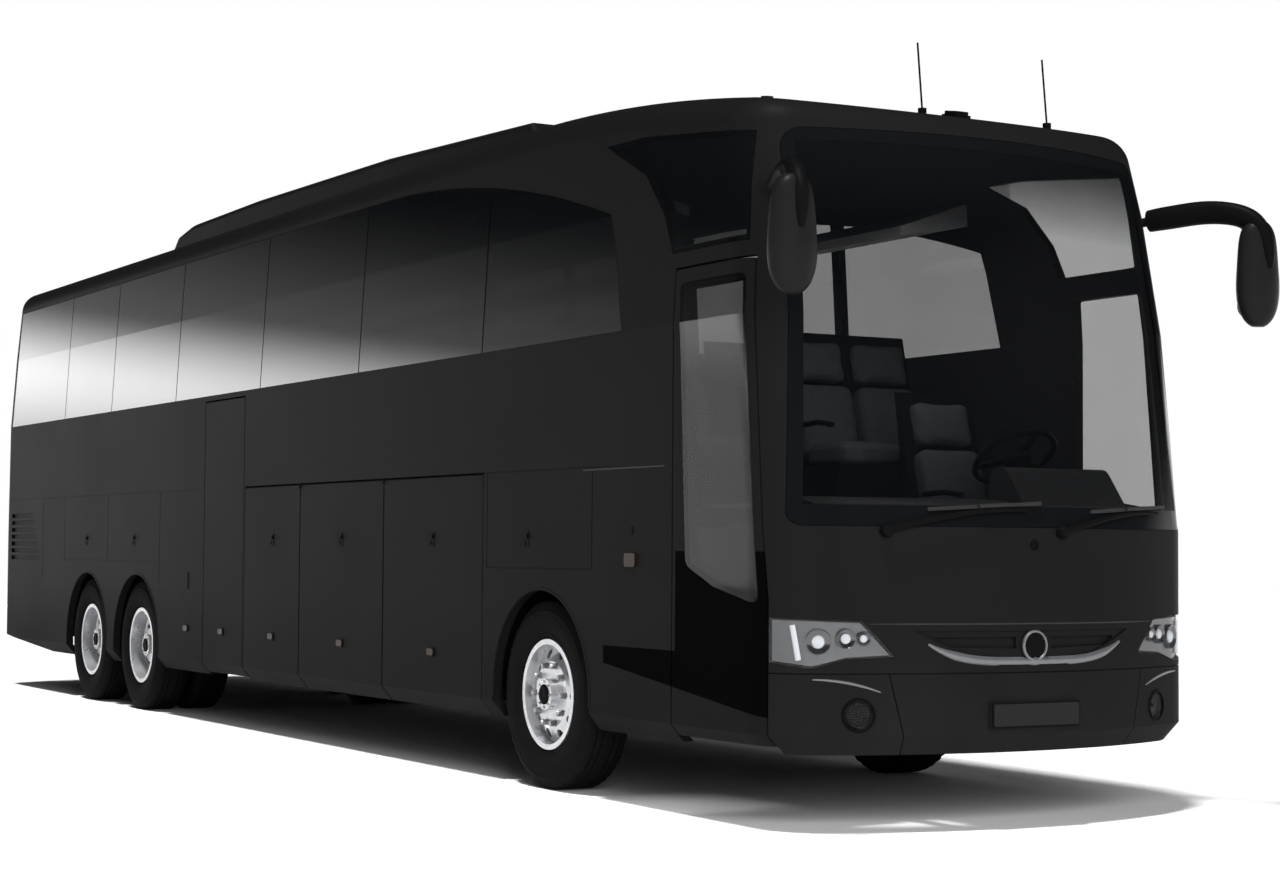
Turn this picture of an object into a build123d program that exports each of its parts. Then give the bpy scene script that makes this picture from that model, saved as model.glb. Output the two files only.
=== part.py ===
from build123d import *
import math
import os

os.makedirs("parts", exist_ok=True)

# Three-axle coach in millimetres: +X forward, +Y left, +Z up, ground at z = 0.
# The overall box of the coach with its mirrors is centred on x = 0 and y = 0.

# Driving dimensions of the body
BODY_LENGTH = 13980
BODY_WIDTH = 2550
ROOF_Z = 3700
MIRROR_LEAD = 100
FRONT_OVERHANG = 2670
WHEELBASE = 7080
TAG_SPACING = 1350
WALL = 60
SKIN = 30
GLASS = 10
GAP = 6

# Heights of the body lines
SKIRT_Z = 360
CREASE_Z = 450
TAIL_RISE_X = -5400
TAIL_RISE = 150
BELT_Z = 1735
WAIST_Z = 2425
BAND_TOP_Z = 3500
SCREEN_Z = 1500
BUMPER_TOP_Z = 735
FLOOR_Z = 1460
PLATFORM_Z = 1050
HOLD_Z = 440
PLATE = 40

# Plan of the body: bow of each end and radius of its corners
FRONT_BOW = 2600
FRONT_CORNER = 330
REAR_BOW = 6000
REAR_CORNER = 240
ROOF_EDGE = 180
DOME_X = 3700
DOME_RADIUS = 15100

# Wheels
TYRE_RADIUS = 515
TYRE_WIDTH = 290
RIM_RADIUS = 300
BEAD_RADIUS = 287
RIM_WIDTH = 244
TYRE_INSET = 30
TWIN_SPACING = 330
ARCH_RADIUS = 575
LINER_RADIUS = 640
LINER = 15
HUB_RADIUS = 140
HAND_HOLES = 10
HAND_HOLE = 28
SPINDLE_RADIUS = 45
KINGPIN_RADIUS = 22
KINGPIN_INSET = 325
RUNNING = 0.5

# Doors and flaps
DOOR_GAP = 12
DOOR_ARM = 430
POST_RADIUS = 22
HINGE_COVE = 24
HINGE_PIN = 6
PIN_GAP = 0.3

HALF = BODY_WIDTH / 2
X_FRONT = (BODY_LENGTH - MIRROR_LEAD) / 2
X_REAR = X_FRONT - BODY_LENGTH
FRONT_AXLE_X = X_FRONT - FRONT_OVERHANG
DRIVE_AXLE_X = FRONT_AXLE_X - WHEELBASE
TAG_AXLE_X = DRIVE_AXLE_X - TAG_SPACING
TRACK_Y = HALF - TYRE_INSET - TYRE_WIDTH / 2
KINGPIN_Y = HALF - KINGPIN_INSET
INNER_Y = HALF - WALL
FAR = BODY_LENGTH
SEAM_X = X_FRONT - 420
SEAM_Z = 1080
SEAM_LEAN = 0.093
REAR_SEAM_X = X_REAR + 340

# Height, front set-back, rear set-back and side inset of the body at each level
LEVELS = [
    (SKIRT_Z, 90, 60, 75),
    (CREASE_Z, 25, 20, 0),
    (SCREEN_Z - 90, 25, 10, 0),
    (WAIST_Z, 150, 35, 0),
    (WAIST_Z + 625, 270, 75, 35),
    (ROOF_Z + 90, 480, 155, 83),
]

# Edges between the side panes, and the ends of the glass band
BAND_X0 = X_REAR + 400
BAND_X1 = FRONT_AXLE_X + 890
BAND_ARC_X = 2000
BAND_ARC_R = 10200
PANE_EDGES = [-4900, -3540, -1890, -60, 1710, 3520]
PANE_GAP = 14
PILLAR = 80

# Doors and flaps along the right side
DOOR_X0 = FRONT_AXLE_X + 1412
DOOR_TOP_Z = 2700
DOOR_FOOT_Z = 395
MID_DOOR_X = (-1200, -350)
MID_DOOR_TOP_Z = 2390
FLAP_EDGES_RIGHT = [-330, 733, 2140, 3560]
FLAP_EDGES_LEFT = [-1200, 733, 2140, 3560]
FLAP_SIDE = 9
HINGE_WEB = 8
HINGE_Y = HALF - SKIN / 2
HINGE_Z = BELT_Z - SKIN / 2


def outline(points, radius=0):
    radii = radius if isinstance(radius, (list, tuple)) else [radius] * len(points)
    return make_face(FilletPolyline(*points, radius=radii, close=True))


def along_y(face, y0, y1):
    """Extrude an (x, z) face between two values of y."""
    place = Plane(origin=(0, y1, 0), x_dir=(1, 0, 0), z_dir=(0, -1, 0))
    return extrude(place * face, y1 - y0)


def side(face, sign, depth0, depth1):
    """Extrude an (x, z) face on one side, between two distances from the middle."""
    return along_y(face, depth0, depth1) if sign > 0 else along_y(face, -depth1, -depth0)


def along_x(face, x0, x1):
    """Extrude a (y, z) face between two values of x."""
    place = Plane(origin=(x0, 0, 0), x_dir=(0, 1, 0), z_dir=(1, 0, 0))
    return extrude(place * face, x1 - x0)


def block(x0, x1, y0, y1, z0, z1):
    return Pos((x0 + x1) / 2, (y0 + y1) / 2, (z0 + z1) / 2) * Box(x1 - x0, y1 - y0, z1 - z0)


def rod(start, end, radius):
    a, b = Vector(*start), Vector(*end)
    place = Plane(origin=a, z_dir=b - a)
    return place * Cylinder(radius, (b - a).length, align=(Align.CENTER, Align.CENTER, Align.MIN))


def group(shapes):
    return Compound([s for shape in shapes for s in shape.solids()])


def save(name, shape):
    export_step(group([shape]), f"parts/{name}.step")


# Body: a stack of rounded plans, cut by the roof line and rounded along its top edge


def corner(tip, bow, radius, half, sign):
    """Arc that joins the straight side to the bowed end of a plan."""
    reach = bow - math.sqrt((bow - radius) ** 2 - (half - radius) ** 2)
    cx, cy = tip - sign * reach, half - radius
    bx = tip - sign * bow
    grow = bow / (bow - radius)
    turn = (math.atan2(cy, sign * (cx - bx)) + math.pi / 2) / 2
    middle = (cx + sign * radius * math.cos(turn), cy + radius * math.sin(turn))
    return (cx, half), middle, (bx + (cx - bx) * grow, cy * grow)


def flip(p):
    return (p[0], -p[1])


def plan(z, front, rear, tuck, inset):
    xf, xr, half = X_FRONT - front - inset, X_REAR + rear + inset, HALF - tuck - inset
    f0, fm, f1 = corner(xf, FRONT_BOW - inset, FRONT_CORNER - inset, half, 1)
    r0, rm, r1 = corner(xr, REAR_BOW - inset, REAR_CORNER - inset, half, -1)
    edges = [
        Line(flip(r0), flip(f0)),
        ThreePointArc(flip(f0), flip(fm), flip(f1)),
        ThreePointArc(flip(f1), (xf, 0), f1),
        ThreePointArc(f1, fm, f0),
        Line(f0, r0),
        ThreePointArc(r0, rm, r1),
        ThreePointArc(r1, (xr, 0), flip(r1)),
        ThreePointArc(flip(r1), flip(rm), flip(r0)),
    ]
    return Pos(0, 0, z) * make_face(Wire(edges))


def roof_line(x, inset):
    if x <= DOME_X:
        return ROOF_Z - inset
    return ROOF_Z - inset - DOME_RADIUS + math.sqrt(DOME_RADIUS**2 - (x - DOME_X) ** 2)


def body_solid(inset):
    rows = list(LEVELS)
    if inset:
        rows.insert(0, (SKIRT_Z - 200, *LEVELS[0][1:]))
    stack = loft([plan(*row, inset) for row in rows], ruled=True)
    x0, x1 = X_REAR - 100, X_FRONT + 100
    xm = (DOME_X + x1) / 2
    top = ROOF_Z - inset
    edges = [
        Line((x0, 0), (x0, top)),
        Line((x0, top), (DOME_X, top)),
        ThreePointArc((DOME_X, top), (xm, roof_line(xm, inset)), (x1, roof_line(x1, inset))),
        Line((x1, roof_line(x1, inset)), (x1, 0)),
        Line((x1, 0), (x0, 0)),
    ]
    stack = stack & along_y(make_face(Wire(edges)), -BODY_WIDTH, BODY_WIDTH)
    seen = {}
    for face in stack.faces():
        if face.normal_at().Z > 0.9:
            for edge in face.edges():
                seen.setdefault(hash(edge), []).append(edge)
    rim = [edges[0] for edges in seen.values() if len(edges) == 1]
    return fillet(rim, ROOF_EDGE - inset)


OUTER = body_solid(0)
BEHIND_GLASS = body_solid(GLASS)
BEHIND_SKIN = body_solid(SKIN)
INSIDE = body_solid(WALL)


def layer(region, behind):
    """Part of the body between its outer face and an inner one, inside a region."""
    return (OUTER & region) - behind


# Regions that the body shell is split into


def seam_x(z):
    return SEAM_X if z < SEAM_Z else SEAM_X - SEAM_LEAN * (z - SEAM_Z)


ROOF_SEAM = [
    (X_REAR - 200, BAND_TOP_Z + 15),
    (BAND_ARC_X, BAND_TOP_Z + 15),
    (FRONT_AXLE_X + 600, BAND_TOP_Z - 50),
    (seam_x(BAND_TOP_Z), BAND_TOP_Z - 160),
    (X_FRONT + 200, BAND_TOP_Z - 140),
]
roof_region = along_y(
    outline(ROOF_SEAM + [(X_FRONT + 200, ROOF_Z + 300), (X_REAR - 200, ROOF_Z + 300)]), -FAR, FAR
)
front_region = along_y(
    outline(
        [
            (seam_x(0), 0),
            (seam_x(0), SEAM_Z),
            (seam_x(ROOF_Z), ROOF_Z),
            (X_FRONT + 200, ROOF_Z),
            (X_FRONT + 200, 0),
        ]
    ),
    -FAR,
    FAR,
)
rear_region = block(X_REAR - 200, REAR_SEAM_X, -FAR, FAR, 0, ROOF_Z)
tail_rise = along_y(
    outline(
        [
            (TAIL_RISE_X, 0),
            (TAIL_RISE_X, SKIRT_Z),
            (X_REAR - 100, SKIRT_Z + TAIL_RISE),
            (X_REAR - 100, 0),
        ]
    ),
    -FAR,
    FAR,
)
shell = OUTER - [INSIDE, tail_rise]
roof = shell & roof_region
lower_shell = shell - roof_region
front_shell = lower_shell & front_region
rear_shell = lower_shell & rear_region
side_shell = lower_shell - front_region - rear_region
save("roof_panel", roof)


# Side glass: bonded panes in a rebate, with pillars behind the joints


def band_top(x):
    if x <= BAND_ARC_X:
        return BAND_TOP_Z
    return BAND_TOP_Z - BAND_ARC_R + math.sqrt(BAND_ARC_R**2 - (x - BAND_ARC_X) ** 2)


def band_face(x0, x1, inset):
    """Part of the glass band between two stations, drawn in from its edge."""
    top = [(x, band_top(x) - inset) for x in (BAND_ARC_X, (BAND_ARC_X + BAND_X1) / 2, BAND_X1 - 180)]
    low = WAIST_Z + inset
    nose = (BAND_X1 - inset, low)
    edges = [
        Line((BAND_X0 + inset, low), nose),
        Line(nose, (BAND_X1 - 100 - inset, low + 430)),
        Line((BAND_X1 - 100 - inset, low + 430), top[2]),
        ThreePointArc(top[2], top[1], top[0]),
        Line(top[0], (BAND_X0 + 60 + inset, BAND_TOP_Z - inset)),
        Line((BAND_X0 + 60 + inset, BAND_TOP_Z - inset), (BAND_X0 + inset, low)),
    ]
    whole = make_face(Wire(edges))
    return whole & (Pos((x0 + x1) / 2, 3000) * Rectangle(x1 - x0, 2000))


PANE_STATIONS = [BAND_X0, *PANE_EDGES, BAND_X1]
QUARTER = [
    (FRONT_AXLE_X + 615, BAND_TOP_Z - 75),
    (FRONT_AXLE_X + 1060, BAND_TOP_Z - 85),
    (seam_x(3300) - 40, BAND_TOP_Z - 190),
    (seam_x(2780) - 40, DOOR_TOP_Z + 75),
    (DOOR_X0 - 40, DOOR_TOP_Z + 75),
    (DOOR_X0 - 140, DOOR_TOP_Z + 280),
    (DOOR_X0 - 350, DOOR_TOP_Z + 510),
]


def shrink(face, inset):
    return offset(face, -inset, kind=Kind.INTERSECTION)


quarter_face = outline(QUARTER)
DRIVER_PANE = [
    (DOOR_X0 + 60, DOOR_TOP_Z),
    (seam_x(DOOR_TOP_Z) - 45, DOOR_TOP_Z),
    (seam_x(1500) - 45, 1500),
    (DOOR_X0 + 420, 1500),
    (DOOR_X0 + 60, 1720),
]
driver_face = outline(DRIVER_PANE, [40, 60, 60, 120, 60])


def side_glass(sign):
    panes = []
    for x0, x1 in zip(PANE_STATIONS, PANE_STATIONS[1:]):
        a = x0 if x0 == BAND_X0 else x0 + PANE_GAP / 2
        b = x1 if x1 == BAND_X1 else x1 - PANE_GAP / 2
        panes.append(layer(side(band_face(a, b, 3), sign, HALF - 300, HALF + 100), BEHIND_GLASS))
    faces = [quarter_face] if sign < 0 else [quarter_face, driver_face]
    for face in faces:
        panes.append(layer(side(shrink(face, 3), sign, HALF - 300, HALF + 100), BEHIND_GLASS))
    return group(panes)


save("right_side_glass", side_glass(-1))
save("left_side_glass", side_glass(1))


# Side walls with their window, door, flap and wheel openings

LINES = [
    (REAR_SEAM_X, -5530, BELT_Z, BELT_Z),
    (-5530, -1200, BELT_Z, BELT_Z),
    (3560, 5100, BELT_Z, BELT_Z),
    (-5530, -5530, 1020, BELT_Z),
    (-4845, -4845, 1180, BELT_Z),
    (-3585, -3585, 1180, BELT_Z),
    (-2227, -2227, 1020, BELT_Z),
    (-4845, -2227, 1190, 1190),
    (3610, 4860, 1200, 1200),
    (3610, 3610, 1200, BELT_Z),
    (4860, 4860, 1200, BELT_Z),
]
LINE_WIDTH = 8
LINE_DEPTH = 4

# Engine vent in each rear side: slots that follow a slanted front edge
VENT_X = (-6600, -5620)
VENT_Z = (1180, 1630)
VENT_SLANT = 260
VENT_SLOTS = 7
VENT_SLOT = 38
VENT_DEPTH = 18


def hinge_bar(sign, x0, x1, radius):
    return rod((x0, sign * HINGE_Y, HINGE_Z), (x1, sign * HINGE_Y, HINGE_Z), radius)


def side_wall(sign):
    half = side_shell & block(-FAR, FAR, *sorted((0, sign * FAR)), 0, ROOF_Z)
    cuts = []
    rebate = side(band_face(BAND_X0, BAND_X1, 0), sign, HALF - 300, HALF + 100)
    cuts.append(layer(rebate, BEHIND_GLASS))
    for x0, x1 in zip(PANE_STATIONS, PANE_STATIONS[1:]):
        face = band_face(x0 + PILLAR / 2, x1 - PILLAR / 2, 40)
        cuts.append(side(face, sign, HALF - 300, HALF + 100))
    faces = [quarter_face] if sign < 0 else [quarter_face, driver_face]
    for face in faces:
        cuts.append(layer(side(face, sign, HALF - 300, HALF + 100), BEHIND_GLASS))
        cuts.append(side(shrink(face, 30), sign, HALF - 300, HALF + 100))
    for x in (FRONT_AXLE_X, DRIVE_AXLE_X, TAG_AXLE_X):
        cuts.append(rod((x, sign * (HALF - 200), TYRE_RADIUS), (x, sign * FAR, TYRE_RADIUS), ARCH_RADIUS))
    edges = FLAP_EDGES_RIGHT if sign < 0 else FLAP_EDGES_LEFT
    y0, y1 = sorted((sign * (HALF - SKIN - GAP), sign * FAR))
    cuts.append(block(edges[0], edges[-1], y0, y1, 0, HINGE_Z))
    cuts.append(hinge_bar(sign, edges[0], edges[-1], HINGE_COVE))
    y0, y1 = sorted((sign * (HALF - 300), sign * FAR))
    cuts.append(block(edges[0], edges[-1], y0, y1, 0, CREASE_Z + GAP))
    for x0, x1 in zip(edges, edges[1:]):
        cuts.append(block(x0 + PLATE, x1 - PLATE, y0, y1, 0, HINGE_Z - 2 * PLATE))
    pins = [hinge_bar(sign, x - 4 * HINGE_PIN, x + 4 * HINGE_PIN, HINGE_PIN) for x in edges]
    webs = [hinge_bar(sign, x - HINGE_WEB / 2, x + HINGE_WEB / 2, HINGE_COVE + 4) for x in edges[1:-1]]
    if sign < 0:
        cuts.append(block(DOOR_X0, X_FRONT, y0, y1, 0, DOOR_TOP_Z))
        cuts.append(block(*MID_DOOR_X, y0, y1, 0, MID_DOOR_TOP_Z))
    y0, y1 = sorted((sign * (HALF - LINE_DEPTH), sign * FAR))
    w = LINE_WIDTH / 2
    for x0, x1, z0, z1 in LINES:
        cuts.append(block(x0 - w, x1 + w, y0, y1, z0 - w, z1 + w))
    pitch = (VENT_Z[1] - VENT_Z[0]) / VENT_SLOTS
    for i in range(VENT_SLOTS):
        z = VENT_Z[0] + i * pitch
        nose = VENT_X[1] - VENT_SLANT * i / VENT_SLOTS
        top = z + VENT_SLOT
        slot = outline([(VENT_X[0], z), (nose, z), (nose - VENT_SLANT / VENT_SLOTS, top), (VENT_X[0], top)])
        cuts.append(side(slot, sign, HALF - VENT_DEPTH, HALF + 100))
    return (half - cuts) + (webs + pins)


save("right_wall", side_wall(-1))
save("left_wall", side_wall(1))


# Luggage flaps with a rounded top edge that turns in a groove of the wall


def flap(sign, x0, x1):
    a, b = x0 + FLAP_SIDE, x1 - FLAP_SIDE
    plate = layer(block(a, b, *sorted((sign * (HALF - 200), sign * FAR)), 0, HINGE_Z), BEHIND_SKIN)
    plate = plate + hinge_bar(sign, a, b, SKIN / 2)
    reach = 4 * HINGE_PIN + 2
    return plate - [hinge_bar(sign, x - reach, x + reach, HINGE_PIN + PIN_GAP) for x in (x0, x1)]


for sign, word, edges in ((-1, "right", FLAP_EDGES_RIGHT), (1, "left", FLAP_EDGES_LEFT)):
    for place, x0, x1 in zip(("rear", "middle", "front"), edges, edges[1:]):
        save(f"{word}_flap_{place}", flap(sign, x0, x1))


# Front end: screen frame, windscreen, mask, bumper and lamps

SCREEN_HALF = HALF - 75
SCREEN_LEAN = 110
SCREEN_TOP_Z = BAND_TOP_Z - 175
screen_face = outline(
    [
        (-SCREEN_HALF, SCREEN_Z - 80),
        (SCREEN_HALF, SCREEN_Z - 80),
        (SCREEN_HALF - SCREEN_LEAN, SCREEN_TOP_Z),
        (SCREEN_LEAN - SCREEN_HALF, SCREEN_TOP_Z),
    ],
    [60, 60, 110, 110],
)
screen_region = along_x(screen_face, SEAM_X - 400, X_FRONT + 200)
save("windscreen", layer(along_x(shrink(screen_face, 3), SEAM_X - 400, X_FRONT + 200), BEHIND_GLASS))
frame_cut = along_x(shrink(screen_face, 45), SEAM_X - 400, X_FRONT + 200)
MASK_TOP_Z = SCREEN_Z - 85
frame = (front_shell & block(0, FAR, -FAR, FAR, MASK_TOP_Z, ROOF_Z)) - layer(screen_region, BEHIND_GLASS)
screen_frame = frame - frame_cut
MIRROR_X = X_FRONT + MIRROR_LEAD
MIRROR_ROOT = (seam_x(3020) + 27, HALF - 145, 3020)
MIRROR_KNEE = (MIRROR_ROOT[0] + 160, MIRROR_ROOT[1] + 60, MIRROR_ROOT[2] + 15)
MIRROR_PLUG = 24
for sign in (-1, 1):
    root = (MIRROR_ROOT[0], sign * MIRROR_ROOT[1], MIRROR_ROOT[2])
    knee = (MIRROR_KNEE[0], sign * MIRROR_KNEE[1], MIRROR_KNEE[2])
    screen_frame = screen_frame - rod(root, knee, MIRROR_PLUG + PIN_GAP)
save("windscreen_frame", screen_frame)

PLATE_HALF = 265
PLATE_Z = (480, 600)
GRILLE_HALF = 640
GRILLE_Z = (775, 935)
SLOT_Z = (850, 905)
SLOT_END = 560
BADGE_Z = 863
BADGE_RADIUS = 78
LAMP = [
    (HALF + 40, 1000),
    (880, 985),
    (725, 812),
    (960, 800),
    (1110, 756),
    (HALF + 40, 800),
]


def lamp_face(sign):
    return outline([(sign * y, z) for y, z in LAMP], [0, 25, 8, 40, 60, 0])


mask = front_shell & block(0, FAR, -FAR, FAR, BUMPER_TOP_Z, MASK_TOP_Z)
mask = mask - layer(block(0, FAR, -FAR, FAR, BUMPER_TOP_Z, BUMPER_TOP_Z + GAP), BEHIND_GLASS)
bumper = front_shell & block(0, FAR, -FAR, FAR, 0, BUMPER_TOP_Z)
lamps = []
for sign in (-1, 1):
    lens = lamp_face(sign)
    mask = mask - layer(along_x(lens, SEAM_X - 100, X_FRONT + 100), BEHIND_SKIN)
    lamps.append(layer(along_x(shrink(lens, 3), SEAM_X + 1, X_FRONT + 100), BEHIND_SKIN))
    joint = outline([(sign * 770, 790), (sign * 776, 790), (sign * 661, 300), (sign * 655, 300)])
    bumper = bumper - layer(along_x(joint, SEAM_X - 100, X_FRONT + 100), BEHIND_GLASS)
    fog = Pos(sign * 900, 548) * Circle(65)
    bumper = bumper - layer(along_x(fog, SEAM_X, X_FRONT + 100), BEHIND_SKIN)
    lamps.append(layer(along_x(Pos(sign * 900, 548) * Circle(62), SEAM_X, X_FRONT + 100), BEHIND_SKIN))
grille = make_face(
    Wire(
        [
            Line((-GRILLE_HALF, GRILLE_Z[1]), (GRILLE_HALF, GRILLE_Z[1])),
            ThreePointArc((GRILLE_HALF, GRILLE_Z[1]), (0, GRILLE_Z[0]), (-GRILLE_HALF, GRILLE_Z[1])),
        ]
    )
)
recess = layer(along_x(grille, SEAM_X, X_FRONT + 100), BEHIND_GLASS)
slots = []
for sign in (-1, 1):
    slot = outline(
        [
            (sign * BADGE_RADIUS * 1.3, SLOT_Z[0]),
            (sign * (SLOT_END - 90), SLOT_Z[0] + 10),
            (sign * SLOT_END, SLOT_Z[1]),
            (sign * BADGE_RADIUS * 1.3, SLOT_Z[1]),
        ],
        8,
    )
    slots.append(layer(along_x(slot, SEAM_X, X_FRONT + 100), BEHIND_SKIN))
disc = layer(along_x(Pos(0, BADGE_Z) * Circle(BADGE_RADIUS), SEAM_X, X_FRONT + 100), BEHIND_SKIN)
save("front_mask", (mask - [recess, *slots]) + disc)
bumper = bumper + (
    block(X_FRONT - 60, X_FRONT - 15, -PLATE_HALF, PLATE_HALF, *PLATE_Z) - BEHIND_SKIN
)
save("front_bumper", bumper)
save("front_lamps", group(lamps))


# Rear end: wall, window, engine lid, bumper and lamps

LID_HALF = 930
LID_Z = (760, 1960)
LID_AXIS = 12
LID_BARREL = 12
LID_KNUCKLE_Y = 430
rear_face = outline([(-1000, 2560), (1000, 2560), (960, 3360), (-960, 3360)], 90)
save("rear_glass", layer(along_x(shrink(rear_face, 3), X_REAR - 100, REAR_SEAM_X), BEHIND_GLASS))
rear_wall = rear_shell & block(-FAR, 0, -FAR, FAR, BUMPER_TOP_Z, ROOF_Z)
rear_wall = rear_wall - layer(block(-FAR, 0, -FAR, FAR, BUMPER_TOP_Z, BUMPER_TOP_Z + GAP), BEHIND_GLASS)
rear_wall = rear_wall - layer(along_x(rear_face, X_REAR - 100, REAR_SEAM_X), BEHIND_GLASS)
rear_wall = rear_wall - along_x(shrink(rear_face, 35), X_REAR - 100, REAR_SEAM_X)
save("rear_bumper", rear_shell & block(-FAR, 0, -FAR, FAR, 0, BUMPER_TOP_Z))
tail = []
for sign in (-1, 1):
    strip = outline([(sign * 990, 980), (sign * 1150, 980), (sign * 1150, 1800), (sign * 990, 1800)], 30)
    rear_wall = rear_wall - layer(along_x(strip, X_REAR - 100, REAR_SEAM_X), BEHIND_SKIN)
    tail.append(layer(along_x(shrink(strip, 3), X_REAR - 100, REAR_SEAM_X), BEHIND_SKIN))
save("tail_lamps", group(tail))
lid_height = LID_Z[1] - LID_Z[0]
lid_face = Pos(0, (LID_Z[0] + LID_Z[1]) / 2) * Rectangle(2 * LID_HALF, lid_height)
rear_wall = rear_wall - along_x(lid_face, X_REAR - 100, REAR_SEAM_X)
lid_middle = Pos(0, (LID_Z[0] + LID_Z[1]) / 2)
lid_inner = lid_middle * Rectangle(2 * LID_HALF - 2 * DOOR_GAP, lid_height - 2 * DOOR_GAP)
lid = layer(along_x(lid_inner, X_REAR - 100, REAR_SEAM_X), BEHIND_SKIN)
lid_axis_x = X_REAR + LID_AXIS
lid_axis_z = LID_Z[1] - DOOR_GAP / 2
for y in (-LID_KNUCKLE_Y, LID_KNUCKLE_Y):
    lid = lid + rod((lid_axis_x, y - 60, lid_axis_z), (lid_axis_x, y, lid_axis_z), LID_BARREL)
    lid = lid + block(lid_axis_x - LID_BARREL, lid_axis_x + 35, y - 60, y, lid_axis_z - 50, lid_axis_z)
    lid = lid - rod((lid_axis_x, y - 70, lid_axis_z), (lid_axis_x, y + 1, lid_axis_z), HINGE_PIN + PIN_GAP)
    pin_tip, pin_foot, barrel_end = ((lid_axis_x, y + d, lid_axis_z) for d in (-66, GAP + 1, GAP + 60))
    barrel_start = (lid_axis_x, y + GAP, lid_axis_z)
    rear_wall = rear_wall + rod(pin_tip, pin_foot, HINGE_PIN)
    rear_wall = rear_wall + rod(barrel_start, barrel_end, LID_BARREL)
    rear_wall = rear_wall + block(
        lid_axis_x - LID_BARREL, lid_axis_x + 45, y + GAP, y + GAP + 60, lid_axis_z, lid_axis_z + 50
    )
save("engine_lid", lid)
save("rear_wall", rear_wall)


# Roof air-conditioning housing and front whip aerials

housing = outline(
    [
        (-2850, ROOF_Z),
        (-2700, ROOF_Z + 120),
        (-2350, ROOF_Z + 175),
        (-900, ROOF_Z + 190),
        (1500, ROOF_Z + 165),
        (3560, ROOF_Z + 85),
        (3650, ROOF_Z),
    ],
    [0, 60, 900, 2000, 2000, 40, 0],
)
hump = along_y(housing, -1010, 1010)
long_edges = [e for e in hump.edges() if abs(abs(e.center().Y) - 1010) < 1 and e.center().Z > ROOF_Z + 10]
save("roof_housing", fillet(long_edges, 45))
aerials = []
for x, y in ((6180, -120), (6180, 680)):
    foot = roof_line(x, 0) - 22
    base = rod((x, y, foot), (x, y, foot + 60), 22)
    aerials.append(base + rod((x, y, foot + 50), (x - 40, y, foot + 400), 5))
save("aerials", group([a - OUTER for a in aerials]))


# Luggage hold floor with its bulkheads, and the underframe of rails and cross members

HOLD_X = (DRIVE_AXLE_X + LINER_RADIUS + 25, FRONT_AXLE_X - LINER_RADIUS - 60)
HOLD_HALF = INNER_Y - 100
RAIL_Y = 420
RAIL_WIDTH = 80
RAIL_Z = (PLATFORM_Z - 220, PLATFORM_Z - 60)
DECK = 60
STEM_X = (FRONT_AXLE_X + 715, TAG_AXLE_X - 800)
hold_floor = block(*HOLD_X, -HOLD_HALF, HOLD_HALF, HOLD_Z - PLATE, HOLD_Z)
bulkheads = [
    block(x, x + PLATE, -FAR, FAR, HOLD_Z, FLOOR_Z - DECK) & INSIDE for x in (HOLD_X[0], HOLD_X[1] - PLATE)
]
save("hold_tub", hold_floor + bulkheads)
frame_parts = []
for sign in (-1, 1):
    y0, y1 = sorted((sign * (RAIL_Y - RAIL_WIDTH / 2), sign * (RAIL_Y + RAIL_WIDTH / 2)))
    frame_parts.append(block(HOLD_X[1], X_FRONT - 500, y0, y1, *RAIL_Z))
    frame_parts.append(block(X_REAR + 500, HOLD_X[0], y0, y1, *RAIL_Z))
    frame_parts.append(block(X_FRONT - 560, X_FRONT, y0, y1, 560, 680) & INSIDE)
    frame_parts.append(block(X_FRONT - 560, X_FRONT - 500, y0, y1, 560, RAIL_Z[1]))
    frame_parts.append(block(X_REAR, X_REAR + 560, y0, y1, 560, 680) & INSIDE)
    frame_parts.append(block(X_REAR + 500, X_REAR + 560, y0, y1, 560, RAIL_Z[1]))
    for x in STEM_X:
        frame_parts.append(block(x, x + 60, y0, y1, RAIL_Z[0], FLOOR_Z - DECK))
for x in (X_FRONT - 560, X_REAR + 240):
    frame_parts.append(block(x, x + 60, -RAIL_Y, RAIL_Y, 560, 680))
for x in STEM_X:
    frame_parts.append(block(x, x + 60, -FAR, FAR, *RAIL_Z) & INSIDE)
save("underframe", frame_parts[0] + frame_parts[1:])


# Passenger deck, driver's platform and entrance steps

STEP_X = (DOOR_X0 - 40, seam_x(0) - GAP)
WELL_Y = -380
STEP_Y = 100 - INNER_Y
deck = block(REAR_SEAM_X + 20, FRONT_AXLE_X + 840, -FAR, FAR, FLOOR_Z - DECK, FLOOR_Z) & INSIDE
deck = deck - block(MID_DOOR_X[0] - 40, MID_DOOR_X[1] + 40, -FAR, WELL_Y, 0, ROOF_Z)
platform = block(FRONT_AXLE_X + 780, X_FRONT, WELL_Y, FAR, PLATFORM_Z - DECK, PLATFORM_Z) & INSIDE
riser = block(FRONT_AXLE_X + 780, FRONT_AXLE_X + 840, -FAR, FAR, PLATFORM_Z - DECK, FLOOR_Z) & INSIDE


def stair(x0, x1, treads):
    """Folded plate of treads between the door and the aisle, in the (y, z) plane."""
    top = []
    y = STEP_Y
    run = (WELL_Y - y) / len(treads)
    for z in treads:
        top += [(y, z), (y + run, z)]
        y += run
    low = [(p[0] + (PLATE if i else 0), p[1] - PLATE) for i, p in enumerate(top)]
    pts = top + [(WELL_Y + PLATE, treads[-1])] + list(reversed(low))
    return along_x(make_face(Polyline(*pts, close=True)), x0, x1)


front_steps = stair(*STEP_X, (HOLD_Z, 720, PLATFORM_Z))
mid_steps = stair(MID_DOOR_X[0] - 40, MID_DOOR_X[1] + 40, (HOLD_Z + PLATE, 800, 1130, FLOOR_Z))
save("passenger_floor", deck + platform + riser + front_steps + mid_steps)


# Seats: cushion and back of each pair, and the driver's seat on its stand

SEAT_PITCH = 800
SEAT_DEPTH = 450
seats = []


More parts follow.
